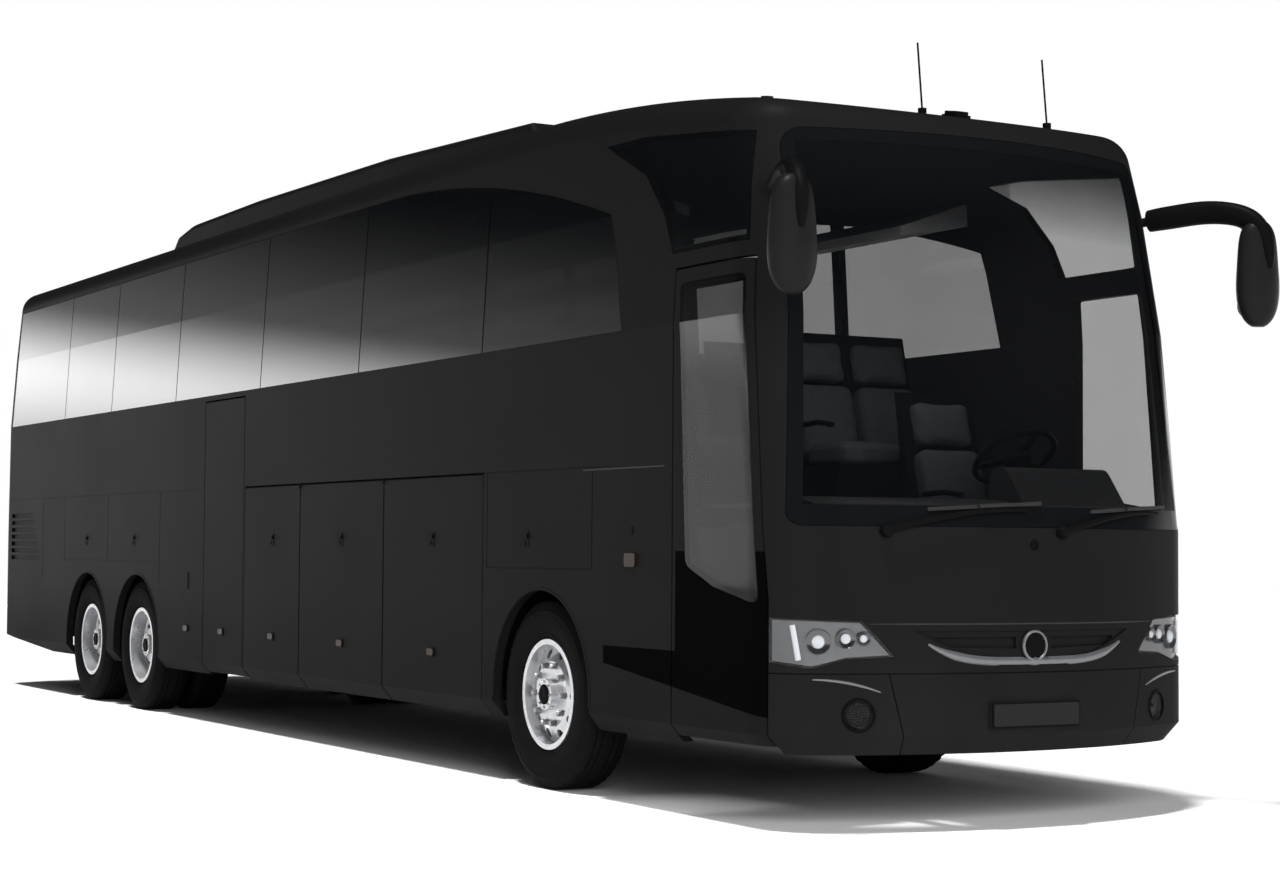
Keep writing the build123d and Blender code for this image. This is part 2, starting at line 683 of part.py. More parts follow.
def seat_pair(x, y0, y1, floor):
    cushion = outline(
        [
            (x, floor),
            (x + 300, floor),
            (x + SEAT_DEPTH, floor + 330),
            (x + SEAT_DEPTH, floor + 450),
            (x, floor + 430),
        ],
        [0, 0, 30, 40, 0],
    )
    back = outline(
        [
            (x - PIN_GAP, floor + 300),
            (x - PIN_GAP, floor + 480),
            (x - 190, floor + 1150),
            (x - 260, floor + 1150),
            (x - 110, floor + 300),
        ],
        [20, 60, 25, 25, 20],
    )
    return [along_y(cushion, y0, y1), along_y(back, y0, y1)]


for row in range(13):
    x = FRONT_AXLE_X + 200 - row * SEAT_PITCH
    seats += seat_pair(x, 260, INNER_Y - 30, FLOOR_Z)
    if not MID_DOOR_X[0] - 600 < x < MID_DOOR_X[1] + 350:
        seats += seat_pair(x, 30 - INNER_Y, -260, FLOOR_Z)
save("passenger_seats", group(seats))
DRIVER_X = X_FRONT - 1420
DRIVER_Y = 620
save("driver_seat", group(seat_pair(DRIVER_X, DRIVER_Y - 260, DRIVER_Y + 260, PLATFORM_Z)))


# Dashboard, and the steering wheel on its inclined column

DASH_X = (X_FRONT - 800, X_FRONT - 400)
DASH_TOP_Z = PLATFORM_Z + 520
DASH_LIP_Z = PLATFORM_Z + 250
dash_face = outline(
    [
        (DASH_X[0], DASH_LIP_Z),
        (DASH_X[0], DASH_TOP_Z - 50),
        (DASH_X[0] + 120, DASH_TOP_Z),
        (DASH_X[1], DASH_TOP_Z - 40),
        (DASH_X[1], DASH_LIP_Z),
    ],
    [40, 60, 80, 30, 30],
)
foot_face = outline(
    [
        (DASH_X[0] + 130, PLATFORM_Z),
        (DASH_X[0] + 60, DASH_LIP_Z + 50),
        (DASH_X[1], DASH_LIP_Z + 50),
        (DASH_X[1], PLATFORM_Z),
    ]
)
hood_face = outline(
    [
        (DASH_X[0] + 40, DASH_TOP_Z - 60),
        (DASH_X[0] + 70, DASH_TOP_Z + 150),
        (DASH_X[0] + 180, DASH_TOP_Z + 170),
        (DASH_X[1] - 40, DASH_TOP_Z - 60),
    ],
    [0, 50, 70, 0],
)
dash = along_y(dash_face, -1000, 1080)
dash = dash + along_y(foot_face, WELL_Y, 1080) + along_y(hood_face, DRIVER_Y - 330, DRIVER_Y + 330)
COLUMN_LEAN = 35
COLUMN_RADIUS = 35
COLUMN_FOOT = (DASH_X[0] + 40, DRIVER_Y, PLATFORM_Z + 480)
STEER_RADIUS = 235
column_dir = (-math.sin(math.radians(COLUMN_LEAN)), 0, math.cos(math.radians(COLUMN_LEAN)))
column_place = Plane(origin=COLUMN_FOOT, x_dir=(0, 1, 0), z_dir=column_dir)
socket = column_place * Cylinder(COLUMN_RADIUS + RUNNING, 700)
save("dashboard", dash - socket)
COLUMN_LENGTH = 330
wheel_rim = Pos(0, 0, COLUMN_LENGTH) * Torus(STEER_RADIUS - 16, 16)
wheel_hub = Pos(0, 0, COLUMN_LENGTH - 25) * Cylinder(75, 40)
spokes = [
    Rot(0, 0, a) * (Pos(STEER_RADIUS / 2, 0, COLUMN_LENGTH - 10) * Box(STEER_RADIUS - 24, 45, 18))
    for a in (20, 160, 270)
]
shaft = Pos(0, 0, COLUMN_LENGTH / 2 - 100) * Cylinder(COLUMN_RADIUS, COLUMN_LENGTH + 180)
save("steering_wheel", column_place * (wheel_rim + [wheel_hub, shaft, *spokes]))


# Luggage racks above the seats, and the engine

rack_face = outline([(HALF, 3200), (700, 3100), (700, 3150), (HALF, 3350)])
racks = []
for sign in (-1, 1):
    face = rack_face if sign > 0 else mirror(rack_face, about=Plane.YZ)
    racks.append(along_x(face, REAR_SEAM_X + 100, FRONT_AXLE_X + 600) & INSIDE)
save("luggage_racks", group(racks))
ENGINE_X = (X_REAR + 330, X_REAR + 1800)
save("engine_block", block(*ENGINE_X, 40 - RAIL_Y, RAIL_Y - 40, 560, 1330))


# Wheels


def tyre():
    """Road tyre as a ring about y, its bead between the rim flanges."""
    w, b = TYRE_WIDTH / 2, RIM_WIDTH / 2 - 10
    shoulder = TYRE_RADIUS - 22
    edges = [
        Line((BEAD_RADIUS, -b), (RIM_RADIUS + 4, -b)),
        ThreePointArc((RIM_RADIUS + 4, -b), ((RIM_RADIUS + shoulder) / 2, -w), (shoulder, 20 - w)),
        ThreePointArc((shoulder, 20 - w), (TYRE_RADIUS - 5, 28 - w), (TYRE_RADIUS, 42 - w)),
        Line((TYRE_RADIUS, 42 - w), (TYRE_RADIUS, w - 42)),
        ThreePointArc((TYRE_RADIUS, w - 42), (TYRE_RADIUS - 5, w - 28), (shoulder, w - 20)),
        ThreePointArc((shoulder, w - 20), ((RIM_RADIUS + shoulder) / 2, w), (RIM_RADIUS + 4, b)),
        Line((RIM_RADIUS + 4, b), (BEAD_RADIUS, b)),
        Line((BEAD_RADIUS, b), (BEAD_RADIUS, -b)),
    ]
    return revolve(make_face(Wire(edges)), Axis.Y)


def ring(points):
    return revolve(make_face(Polyline(*points, close=True)), Axis.Y)


def rim(face_y, hub_y0, hub_y1, bore, bore_end):
    """Rim about y with its disc at face_y; outboard is +y."""
    w = RIM_WIDTH / 2
    inner = BEAD_RADIUS - 16
    barrel = ring(
        [
            (inner, -w),
            (RIM_RADIUS, -w),
            (RIM_RADIUS, 10 - w),
            (BEAD_RADIUS, 10 - w),
            (BEAD_RADIUS, w - 10),
            (RIM_RADIUS, w - 10),
            (RIM_RADIUS, w),
            (inner, w),
        ]
    )
    edge = max(-w + 20, min(w - 20, face_y - 45 if face_y > 0 else face_y + 45))
    disc = ring(
        [
            (HUB_RADIUS - 20, face_y - 14),
            (HUB_RADIUS - 20, face_y),
            (HUB_RADIUS + 40, face_y),
            (inner + 4, edge),
            (inner + 4, edge - 14),
            (HUB_RADIUS + 40, face_y - 14),
        ]
    )
    hole_radius = (HUB_RADIUS + 40 + inner) / 2
    hole = rod((hole_radius, -w, 0), (hole_radius, w, 0), HAND_HOLE)
    disc = disc - [Rot(0, 360 * i / HAND_HOLES, 0) * hole for i in range(HAND_HOLES)]
    hub = rod((0, hub_y0, 0), (0, hub_y1, 0), HUB_RADIUS) + rod((0, hub_y1 - 5, 0), (0, hub_y1 + 45, 0), 85)
    hub = hub - rod((0, hub_y0 - 5, 0), (0, bore_end, 0), bore)
    return barrel + disc + hub


def stand(shape, x, sign, y):
    turn = Rot(0, 0, 0) if sign > 0 else Rot(0, 0, 180)
    return Pos(x, sign * y, TYRE_RADIUS) * turn * shape


FRONT_FACE = RIM_WIDTH / 2 - 25
front_rim = rim(FRONT_FACE, -20, FRONT_FACE, SPINDLE_RADIUS + RUNNING, 50)
AXLE_TUBE = 70
tag_rim = rim(-30, -150, 40, AXLE_TUBE + RUNNING, -15)
outer_rim = rim(-30, -TWIN_SPACING - 60, 40, AXLE_TUBE + RUNNING, -15)
inner_rim = Pos(0, -TWIN_SPACING, 0) * Rot(0, 0, 180) * rim(-30, -30, 10, AXLE_TUBE + RUNNING, 60)
road_tyre = tyre()
for sign, word in ((1, "left"), (-1, "right")):
    save(f"front_{word}_tyre", stand(road_tyre, FRONT_AXLE_X, sign, TRACK_Y))
    save(f"front_{word}_rim", stand(front_rim, FRONT_AXLE_X, sign, TRACK_Y))
    save(f"tag_{word}_tyre", stand(road_tyre, TAG_AXLE_X, sign, TRACK_Y))
    save(f"tag_{word}_rim", stand(tag_rim, TAG_AXLE_X, sign, TRACK_Y))
    twin = group([road_tyre, Pos(0, -TWIN_SPACING, 0) * road_tyre])
    save(f"drive_{word}_tyres", stand(twin, DRIVE_AXLE_X, sign, TRACK_Y))
    save(f"drive_{word}_rims", stand(outer_rim + inner_rim, DRIVE_AXLE_X, sign, TRACK_Y))


# Axles, steering knuckles and wheel arch liners

EYE = 60
EYE_RADIUS = 58
beam = block(FRONT_AXLE_X - 55, FRONT_AXLE_X + 55, -KINGPIN_Y, KINGPIN_Y, TYRE_RADIUS - 55, TYRE_RADIUS + 25)
for sign in (-1, 1):
    y = sign * KINGPIN_Y
    foot, head = (FRONT_AXLE_X, y, TYRE_RADIUS - EYE), (FRONT_AXLE_X, y, TYRE_RADIUS + EYE)
    bore = rod((FRONT_AXLE_X, y, 0), (FRONT_AXLE_X, y, 2 * TYRE_RADIUS), KINGPIN_RADIUS + RUNNING)
    beam = (beam + rod(foot, head, EYE_RADIUS)) - bore
    stem_y = sign * RAIL_Y
    beam = beam + rod((FRONT_AXLE_X, stem_y, TYRE_RADIUS), (FRONT_AXLE_X, stem_y, RAIL_Z[0]), 105)
save("front_axle", beam)

for sign, word in ((1, "left"), (-1, "right")):
    y = sign * KINGPIN_Y
    lug = EYE_RADIUS
    low, high = TYRE_RADIUS - EYE - 50, TYRE_RADIUS + EYE + 50
    knuckle = rod((FRONT_AXLE_X, y, low), (FRONT_AXLE_X, y, high), KINGPIN_RADIUS)
    for z0 in (TYRE_RADIUS + EYE + 6, TYRE_RADIUS - EYE - 50):
        knuckle = knuckle + rod((FRONT_AXLE_X, y, z0), (FRONT_AXLE_X, y, z0 + 44), lug)
        y0, y1 = sorted((y, y + sign * (lug + 40)))
        knuckle = knuckle + block(FRONT_AXLE_X - lug, FRONT_AXLE_X + lug, y0, y1, z0, z0 + 44)
    y0, y1 = sorted((y + sign * (lug + 8), y + sign * (lug + 40)))
    knuckle = knuckle + block(FRONT_AXLE_X - lug, FRONT_AXLE_X + lug, y0, y1, low, high)
    knuckle = knuckle + rod(
        (FRONT_AXLE_X, y1 if sign > 0 else y0, TYRE_RADIUS),
        (FRONT_AXLE_X, sign * (TRACK_Y + 45), TYRE_RADIUS),
        SPINDLE_RADIUS,
    )
    save(f"front_{word}_knuckle", knuckle)

drive = rod((DRIVE_AXLE_X, -TRACK_Y + 20, TYRE_RADIUS), (DRIVE_AXLE_X, TRACK_Y - 20, TYRE_RADIUS), AXLE_TUBE)
drive = drive + Pos(DRIVE_AXLE_X, 0, TYRE_RADIUS) * Sphere(190)
tag = rod((TAG_AXLE_X, -TRACK_Y + 20, TYRE_RADIUS), (TAG_AXLE_X, TRACK_Y - 20, TYRE_RADIUS), AXLE_TUBE)
for sign in (-1, 1):
    y = sign * RAIL_Y
    drive = drive + rod((DRIVE_AXLE_X, y, TYRE_RADIUS), (DRIVE_AXLE_X, y, RAIL_Z[0]), 105)
    tag = tag + rod((TAG_AXLE_X, y, TYRE_RADIUS), (TAG_AXLE_X, y, RAIL_Z[0]), 105)
save("drive_axle", drive)
save("tag_axle", tag)

liners = []
for x in (FRONT_AXLE_X, DRIVE_AXLE_X, TAG_AXLE_X):
    ring_face = Pos(x, TYRE_RADIUS) * (Circle(LINER_RADIUS + LINER) - Circle(LINER_RADIUS))
    ring_face = ring_face & (Pos(x, TYRE_RADIUS + 500) * Rectangle(3000, 1000))
    for sign in (-1, 1):
        liners.append(side(ring_face, sign, 560, INNER_Y))
save("wheel_arch_liners", group(liners))


# Doors that swing out and along the body on a turning post with two arms


def door_arm(post_x, post_y, z0, z1, arms):
    post = rod((post_x, post_y, z0), (post_x, post_y, z1), POST_RADIUS)
    for z in arms:
        arm = block(post_x - DOOR_ARM, post_x, post_y - 20, post_y + 20, z - 20, z + 20)
        post = post + arm + rod((post_x - DOOR_ARM, post_y, z - 30), (post_x - DOOR_ARM, post_y, z + 30), 30)
    for z in arms:
        x = post_x - DOOR_ARM
        post = post - rod((x, post_y, z - 40), (x, post_y, z + 40), 12 + RUNNING)
    return post


def door_lugs(post_x, post_y, arms, inner_y):
    """Brackets on the inner face of a door, with the pins that its arms turn on."""
    x = post_x - DOOR_ARM
    lugs = None
    for z in arms:
        for z0 in (z + 36, z - 66):
            lug = block(x - 30, x + 30, inner_y - 5, post_y, z0, z0 + 30)
            lug = lug + rod((x, post_y, z0), (x, post_y, z0 + 30), 30)
            lugs = lug if lugs is None else lugs + lug
        lugs = lugs + rod((x, post_y, z - 60), (x, post_y, z + 60), 12)
    return lugs


POST_Y = 130 - INNER_Y
FRONT_POST_SET = 240
MID_POST_SET = 200
DOOR_ARMS = (960, 1480)
MID_ARMS = (960, 1560)

door_face = outline(
    [
        (DOOR_X0 + DOOR_GAP, DOOR_FOOT_Z),
        (seam_x(0) - DOOR_GAP, DOOR_FOOT_Z),
        (seam_x(0) - DOOR_GAP, SEAM_Z),
        (seam_x(DOOR_TOP_Z) - DOOR_GAP, DOOR_TOP_Z - DOOR_GAP),
        (DOOR_X0 + DOOR_GAP, DOOR_TOP_Z - DOOR_GAP),
    ],
    [20, 20, 300, 20, 20],
)
door_glass_face = outline(
    [
        (DOOR_X0 + 55, DOOR_TOP_Z - 80),
        (DOOR_X0 + 130, 1230),
        (DOOR_X0 + 400, 1125),
        (seam_x(1070) - 55, 1050),
        (seam_x(DOOR_TOP_Z) - 50, DOOR_TOP_Z - 80),
    ],
    [40, 60, 300, 40, 40],
)
door_region = side(door_face, -1, HALF - 300, HALF + 100)
glass_region = side(door_glass_face, -1, HALF - 300, HALF + 100)
front_door = layer(door_region, INSIDE) - layer(glass_region, BEHIND_GLASS)
front_door = front_door - side(shrink(door_glass_face, 30), -1, HALF - 300, HALF + 100)
front_post_x = seam_x(0) - FRONT_POST_SET
front_door = front_door + door_lugs(front_post_x, POST_Y, DOOR_ARMS, -INNER_Y)
save("front_door", front_door)
save("front_door_glass", layer(side(shrink(door_glass_face, 3), -1, HALF - 300, HALF + 100), BEHIND_GLASS))
save("front_door_arm", door_arm(front_post_x, POST_Y, HOLD_Z + RUNNING, DOOR_TOP_Z + 40, DOOR_ARMS))

mid_face = outline(
    [
        (MID_DOOR_X[0] + DOOR_GAP, SKIRT_Z + 20),
        (MID_DOOR_X[1] - DOOR_GAP, SKIRT_Z + 20),
        (MID_DOOR_X[1] - DOOR_GAP, MID_DOOR_TOP_Z - DOOR_GAP),
        (MID_DOOR_X[0] + DOOR_GAP, MID_DOOR_TOP_Z - DOOR_GAP),
    ],
    20,
)
mid_post_x = MID_DOOR_X[1] - MID_POST_SET
mid_door = layer(side(mid_face, -1, HALF - 300, HALF + 100), INSIDE)
mid_door = mid_door + door_lugs(mid_post_x, POST_Y, MID_ARMS, -INNER_Y)
save("middle_door", mid_door)
save("middle_door_arm", door_arm(mid_post_x, POST_Y, HOLD_Z + PLATE + RUNNING, MID_DOOR_TOP_Z + 40, MID_ARMS))


# Hanging mirrors: a thick arm that curves out from the upper screen corner and down into the head

MIRROR_ARM = 42
MIRROR_HEAD_X = MIRROR_X - 90
MIRROR_HEAD_Y = HALF + 130
MIRROR_BACK = 50
MIRROR_LOW_Z = 2450
HEAD_SECTIONS = [
    (535, 36, 44),
    (500, 62, 82),
    (400, 78, 110),
    (235, 86, 122),
    (95, 78, 110),
    (25, 50, 72),
    (0, 24, 34),
]
mirrors = []
for sign in (-1, 1):
    x, y = MIRROR_HEAD_X, sign * MIRROR_HEAD_Y
    root, knee = (Vector(px, sign * py, pz) for px, py, pz in (MIRROR_ROOT, MIRROR_KNEE))
    shoulder = Vector(x - 130, y - sign * 60, MIRROR_LOW_Z + 570)
    crown = Vector(x, y, MIRROR_LOW_Z + 400)
    path = Spline(knee, shoulder, crown, tangents=((knee - root).normalized(), (0, 0, -1)))
    arm = sweep(Plane(origin=knee, z_dir=path % 0) * Circle(MIRROR_ARM), path=path)
    head = loft([Pos(x, y, MIRROR_LOW_Z + h) * Ellipse(deep, wide) for h, deep, wide in HEAD_SECTIONS])
    head = head - block(x - 200, x - MIRROR_BACK, -FAR, FAR, 0, MIRROR_LOW_Z + 400)
    mirrors.append(head + arm + rod(root, knee + (knee - root) * 0.1, MIRROR_PLUG))
save("mirrors", group(mirrors))


# Wipers parked along the foot of the windscreen

wipers = []
for y0, y1 in ((-780, -60), (160, 880)):
    ends = [(X_FRONT - 25 - y * y / (2 * FRONT_BOW) + 45, y) for y in (y0, y1)]
    (xa, ya), (xb, yb) = ends
    boss = rod((xa - 300, ya, SCREEN_Z - 110), (xa + 8, ya, SCREEN_Z - 110), 20) - OUTER
    wipers.append(boss + rod((xa, ya, SCREEN_Z - 110), (xb, yb, SCREEN_Z - 60), 9))
save("wipers", group(wipers))
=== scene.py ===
import math

import bmesh
import bpy
from mathutils import Matrix, Vector
from mathutils.bvhtree import BVHTree
from mathutils.geometry import delaunay_2d_cdt


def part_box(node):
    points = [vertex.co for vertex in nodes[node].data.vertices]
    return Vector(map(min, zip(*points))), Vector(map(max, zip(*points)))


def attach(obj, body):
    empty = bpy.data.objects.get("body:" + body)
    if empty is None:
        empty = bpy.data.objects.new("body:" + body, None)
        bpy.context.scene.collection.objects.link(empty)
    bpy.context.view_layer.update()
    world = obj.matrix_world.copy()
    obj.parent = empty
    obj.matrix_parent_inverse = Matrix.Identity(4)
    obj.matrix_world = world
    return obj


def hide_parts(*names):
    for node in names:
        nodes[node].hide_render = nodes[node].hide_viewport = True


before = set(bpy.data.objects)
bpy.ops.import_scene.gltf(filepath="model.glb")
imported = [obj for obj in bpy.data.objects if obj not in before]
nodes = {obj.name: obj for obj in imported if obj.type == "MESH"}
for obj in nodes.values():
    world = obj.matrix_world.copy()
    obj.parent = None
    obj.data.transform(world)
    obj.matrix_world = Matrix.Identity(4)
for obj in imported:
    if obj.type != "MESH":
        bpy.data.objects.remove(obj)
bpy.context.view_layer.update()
scene = bpy.context.scene
scene.view_settings.view_transform = "Standard"


# Studio: a pale seamless floor under a white surround, as a vehicle is shown in a catalogue.
# Reflections see the surround bright at the horizon and dark above it, as between low light walls
# under a black ceiling.
class Value:
    """A node socket that sums can be written with; add() puts any other node after it."""

    def __init__(self, socket):
        self.socket = socket

    def add(self, kind, settings=None, sockets=None, out=0):
        tree = self.socket.id_data
        node = tree.nodes.new(kind)
        for key, value in (settings or {}).items():
            setattr(node, key, value)
        for key, value in (sockets or {}).items():
            socket = node.inputs[key]
            if isinstance(value, Value):
                tree.links.new(value.socket, socket)
            else:
                socket.default_value = value
        return Value(node.outputs[out])

    def sum(self, operation, a, b):
        return self.add("ShaderNodeMath", {"operation": operation}, {0: a, 1: b})

    def __add__(self, other):
        return self.sum("ADD", self, other)

    __radd__ = __add__

    def __sub__(self, other):
        return self.sum("SUBTRACT", self, other)

    def __rsub__(self, other):
        return self.sum("SUBTRACT", other, self)

    def __mul__(self, other):
        return self.sum("MULTIPLY", self, other)

    __rmul__ = __mul__

    def __truediv__(self, other):
        return self.sum("DIVIDE", self, other)

    def __abs__(self):
        return self.sum("ABSOLUTE", self, 0.0)

    def __gt__(self, other):
        return self.sum("GREATER_THAN", self, other)

    def __lt__(self, other):
        return self.sum("LESS_THAN", self, other)


world = bpy.data.worlds.new("studio")
scene.world = world
world.use_nodes = True
sky = world.node_tree
sky.nodes.clear()
rays = sky.nodes.new("ShaderNodeLightPath").outputs
direct, glossy, through = (Value(rays[f"Is {kind} Ray"]) for kind in ("Camera", "Glossy", "Transmission"))
seen = direct.sum("MAXIMUM", direct, through)
heading = direct.add("ShaderNodeTexCoord", out="Generated")
height = heading.add("ShaderNodeSeparateXYZ", sockets={0: heading}, out="Z")


DARK_LEVEL = 0.005


def fade(low, high, strength):
    """Light that fades out between two heights above the horizon."""
    return height.add(
        "ShaderNodeMapRange",
        {"interpolation_type": "SMOOTHSTEP"},
        {"Value": height, "From Min": low, "From Max": high, "To Min": strength, "To Max": DARK_LEVEL},
    )


glow = fade(0.1, 0.135, 3.2) - fade(0.07, 0.1, 1.5) + fade(0.1, 0.2, 0.5)
SOFT_LEVEL = 0.06
level = seen + (1 - seen) * (glossy * glow + (1 - glossy) * SOFT_LEVEL)
surround = level.add("ShaderNodeBackground", sockets={"Color": (1, 1, 1, 1), "Strength": level})
sky.links.new(surround.socket, sky.nodes.new("ShaderNodeOutputWorld").inputs["Surface"])


def new_object(name, bm, material):
    """A piece from a bmesh, with its normals turned outward."""
    bmesh.ops.recalc_face_normals(bm, faces=bm.faces)
    mesh = bpy.data.meshes.new(name)
    bm.to_mesh(mesh)
    bm.free()
    mesh.materials.append(material)
    made = bpy.data.objects.new(name, mesh)
    scene.collection.objects.link(made)
    return made


def finish(name, colour, roughness, metallic=0.0, **fixed):
    """A Principled material with its shader's inputs and its Object coordinates."""
    material = bpy.data.materials.new(name)
    material.use_nodes = True
    tree = material.node_tree
    shader = tree.nodes["Principled BSDF"].inputs
    shader["Base Color"].default_value = (*colour, 1)
    shader["Roughness"].default_value = roughness
    shader["Metallic"].default_value = metallic
    for key, value in fixed.items():
        shader[key.replace("_", " ")].default_value = value
    return material, shader, Value(tree.nodes.new("ShaderNodeTexCoord").outputs["Object"])


def feed(shader, key, value):
    shader[key].id_data.links.new(value.socket, shader[key])


def mottle(place, size, detail=3.0):
    """Cloudy noise from 0 to 1 whose blots are about the given size in metres."""
    return place.add("ShaderNodeTexNoise", sockets={"Vector": place, "Scale": 1 / size, "Detail": detail})


def tint(factor, a, b):
    """A colour between two, by a factor."""
    return factor.add(
        "ShaderNodeMix", {"data_type": "RGBA"}, {"Factor": factor, "A": (*a, 1), "B": (*b, 1)}, out=2
    )


def bump(shader, height, distance):
    feed(shader, "Normal", height.add("ShaderNodeBump", sockets={"Height": height, "Distance": distance}))


def worn(shader, place, size, low, high, detail=3.0):
    """Roughness that wanders between two values, in blots of a size."""
    feed(shader, "Roughness", mottle(place, size, detail) * (high - low) + low)


def axes(place):
    return [place.add("ShaderNodeSeparateXYZ", sockets={0: place}, out=axis) for axis in "XYZ"]


floor_paint, shader, place = finish("floor_paint", (0.93, 0.93, 0.93), 0.9, Specular_IOR_Level=0.0)
worn(shader, place, 0.6, 0.85, 0.95)
FLOOR_HALF = 60
bm = bmesh.new()
bmesh.ops.create_grid(bm, x_segments=2, y_segments=2, size=FLOOR_HALF)
new_object("studio_floor", bm, floor_paint)

for name, spot, aim, size, power in (
    ("overhead", (1, -2, 11), (0, 0, 1.5), 14, 130),
    ("front_fill", (17, -4, 5), (6, 0, 1.6), 7, 1500),
    ("cabin", (2.5, 0, 3.25), (2.5, 0, 0), 1.6, 45),
    ("cab", (5.6, 0, 3.2), (5.6, 0, 0), 1.0, 25),
):
    lamp = bpy.data.lights.new(name, "AREA")
    lamp.size = size
    lamp.energy = power
    holder = bpy.data.objects.new(name, lamp)
    holder.location = spot
    holder.rotation_euler = (Vector(aim) - Vector(spot)).to_track_quat("-Z", "Y").to_euler()
    holder.visible_glossy = False
    scene.collection.objects.link(holder)
SUN_HEADING = Vector((-0.1, 0.2, -1))
sun = bpy.data.lights.new("sun", "SUN")
sun.energy = 3.6
sun.angle = math.radians(6)
holder = bpy.data.objects.new("sun", sun)
holder.rotation_euler = SUN_HEADING.to_track_quat("-Z", "Y").to_euler()
scene.collection.objects.link(holder)

# Camera: a long lens at about chest height off the right front corner, tipped up a little. Its place
# and lean are worked out from the coach's own sill, roof and wheel lines.
YAW, PITCH, ROLL = (math.radians(a) for a in (29.668, 2.558, 0.392))
CAMERA_SPOT = (15.76, -7.198, 1.299)
SENSOR_WIDTH = 36
FOCAL_LENGTH = 66.6
ahead = Vector((-math.cos(YAW) * math.cos(PITCH), math.sin(YAW) * math.cos(PITCH), math.sin(PITCH)))
across = Vector((math.sin(YAW), math.cos(YAW), 0))
above = across.cross(ahead)
right = across * math.cos(ROLL) + above * math.sin(ROLL)
up = above * math.cos(ROLL) - across * math.sin(ROLL)
lens = bpy.data.cameras.new("camera")
lens.sensor_width = SENSOR_WIDTH
lens.lens = FOCAL_LENGTH
lens.clip_end = 200
camera = bpy.data.objects.new("camera", lens)
camera.matrix_world = Matrix((right, up, -ahead)).transposed().to_4x4()
camera.location = CAMERA_SPOT
scene.collection.objects.link(camera)
scene.camera = camera


# Body panels: pressed sheet under dark satin paint. The paint has a faint orange peel, road dust
# greys it towards the skirt, and a gloss black area runs from the front arch under the door.
def dress(material, *names):
    for name in names:
        mesh = nodes[name].data
        mesh.materials.clear()
        mesh.materials.append(material)


def satin(name, black_area=None):
    """The coach's paint; black_area gives a 0 to 1 mask of gloss black from the coordinates."""
    grey, dirt, black = (0.008, 0.008, 0.0085), (0.024, 0.0235, 0.0225), (0.0012, 0.0012, 0.0012)
    material, shader, place = finish(name, grey, 0.4, Specular_IOR_Level=0.012)
    x, y, z = axes(place)
    low = z.add("ShaderNodeMapRange", sockets={"Value": z, "From Min": 1.0, "From Max": 0.35})
    dust = low * mottle(place, 0.35, 6)
    rough = mottle(place, 0.9, 4) * 0.08 + dust * 0.2 + 0.4
    if black_area:
        mask = black_area(x, y, z)
        feed(shader, "Base Color", tint(mask, grey, black))
        rough = rough + mask * 0.4
    else:
        feed(shader, "Base Color", tint(dust * 0.3, grey, dirt))
    feed(shader, "Roughness", rough)
    bump(shader, mottle(place, 0.004, 2), 0.00004)
    return material


WEDGE_TIP_X, WEDGE_NOSE_X = 4.99, 6.52
WEDGE_TIP_Z, WEDGE_NOSE_Z = 0.72, 0.53
WEDGE_TOP_Z = 0.81
SASH_X, SASH_TOP_Z = 5.72, 1.3


def wedge(x, y, z):
    """Black area below the door sill line, its lower edge falling towards the front."""
    slope = (WEDGE_TIP_Z - WEDGE_NOSE_Z) / (WEDGE_NOSE_X - WEDGE_TIP_X)
    lower = WEDGE_TIP_Z - (x - WEDGE_TIP_X) * slope
    under = (z < WEDGE_TOP_Z) + (x > SASH_X)
    return (under > 0.5) * (z > lower) * (x > WEDGE_TIP_X) * (y < 0) * (z < SASH_TOP_Z)


paint = satin("coach_paint")
dress(
    paint,
    *("roof_panel", "left_wall", "windscreen_frame", "front_mask", "front_bumper", "rear_wall"),
    *("rear_bumper", "roof_housing", "middle_door", "engine_lid"),
    *(f"{side}_flap_{spot}" for side in ("right", "left") for spot in ("rear", "middle", "front")),
)
dress(satin("sill_paint", wedge), "right_wall", "front_door")


# Glazing: toughened panes with a dark grey tint, bonded flush with the skin. The panes beside the
# driver are clearer, and the windscreen has a printed black border and a shade band at its top.
def glazing(name, gloss, clearness):
    """clearness gives the share of light let through, from the coordinates and a haze."""
    material, shader, place = finish(name, (0.004, 0.0045, 0.005), 0.02, Specular_IOR_Level=gloss)
    haze = mottle(place, 0.5, 4)
    feed(shader, "Roughness", haze * 0.03 + 0.01)
    feed(shader, "Alpha", 1 - clearness(*axes(place), haze))
    return material


SIDE_CLEAR, DOOR_CLEAR, HAZE = 0.12, 0.45, 0.05
CAB_X, CAB_GAIN, LEFT_GAIN = 5.2, 0.2, 0.45
BORDER_Z, BORDER_HALF, SCREEN_LEAN = (1.52, 3.26), 1.134, 0.06
SHADE_Z, SCREEN_CLEAR, SHADE_CLEAR = (2.85, 3.2), 0.78, 0.3


def side_clearness(x, y, z, haze):
    return SIDE_CLEAR + (x > CAB_X) * CAB_GAIN + (y > 0) * LEFT_GAIN - haze * HAZE


def door_clearness(x, y, z, haze):
    return DOOR_CLEAR - haze * HAZE


def screen_clearness(x, y, z, haze):
    """Clear inside the printed border; the border's sides follow the lean of the screen."""
    edge = abs(y) + (z - BORDER_Z[0]) * SCREEN_LEAN
    inside = (z > BORDER_Z[0]) * (z < BORDER_Z[1]) * (edge < BORDER_HALF)
    band = {"From Min": SHADE_Z[0], "From Max": SHADE_Z[1], "To Min": SCREEN_CLEAR, "To Max": SHADE_CLEAR}
    shade = z.add("ShaderNodeMapRange", sockets={"Value": z, **band})
    return inside * (shade - haze * HAZE)


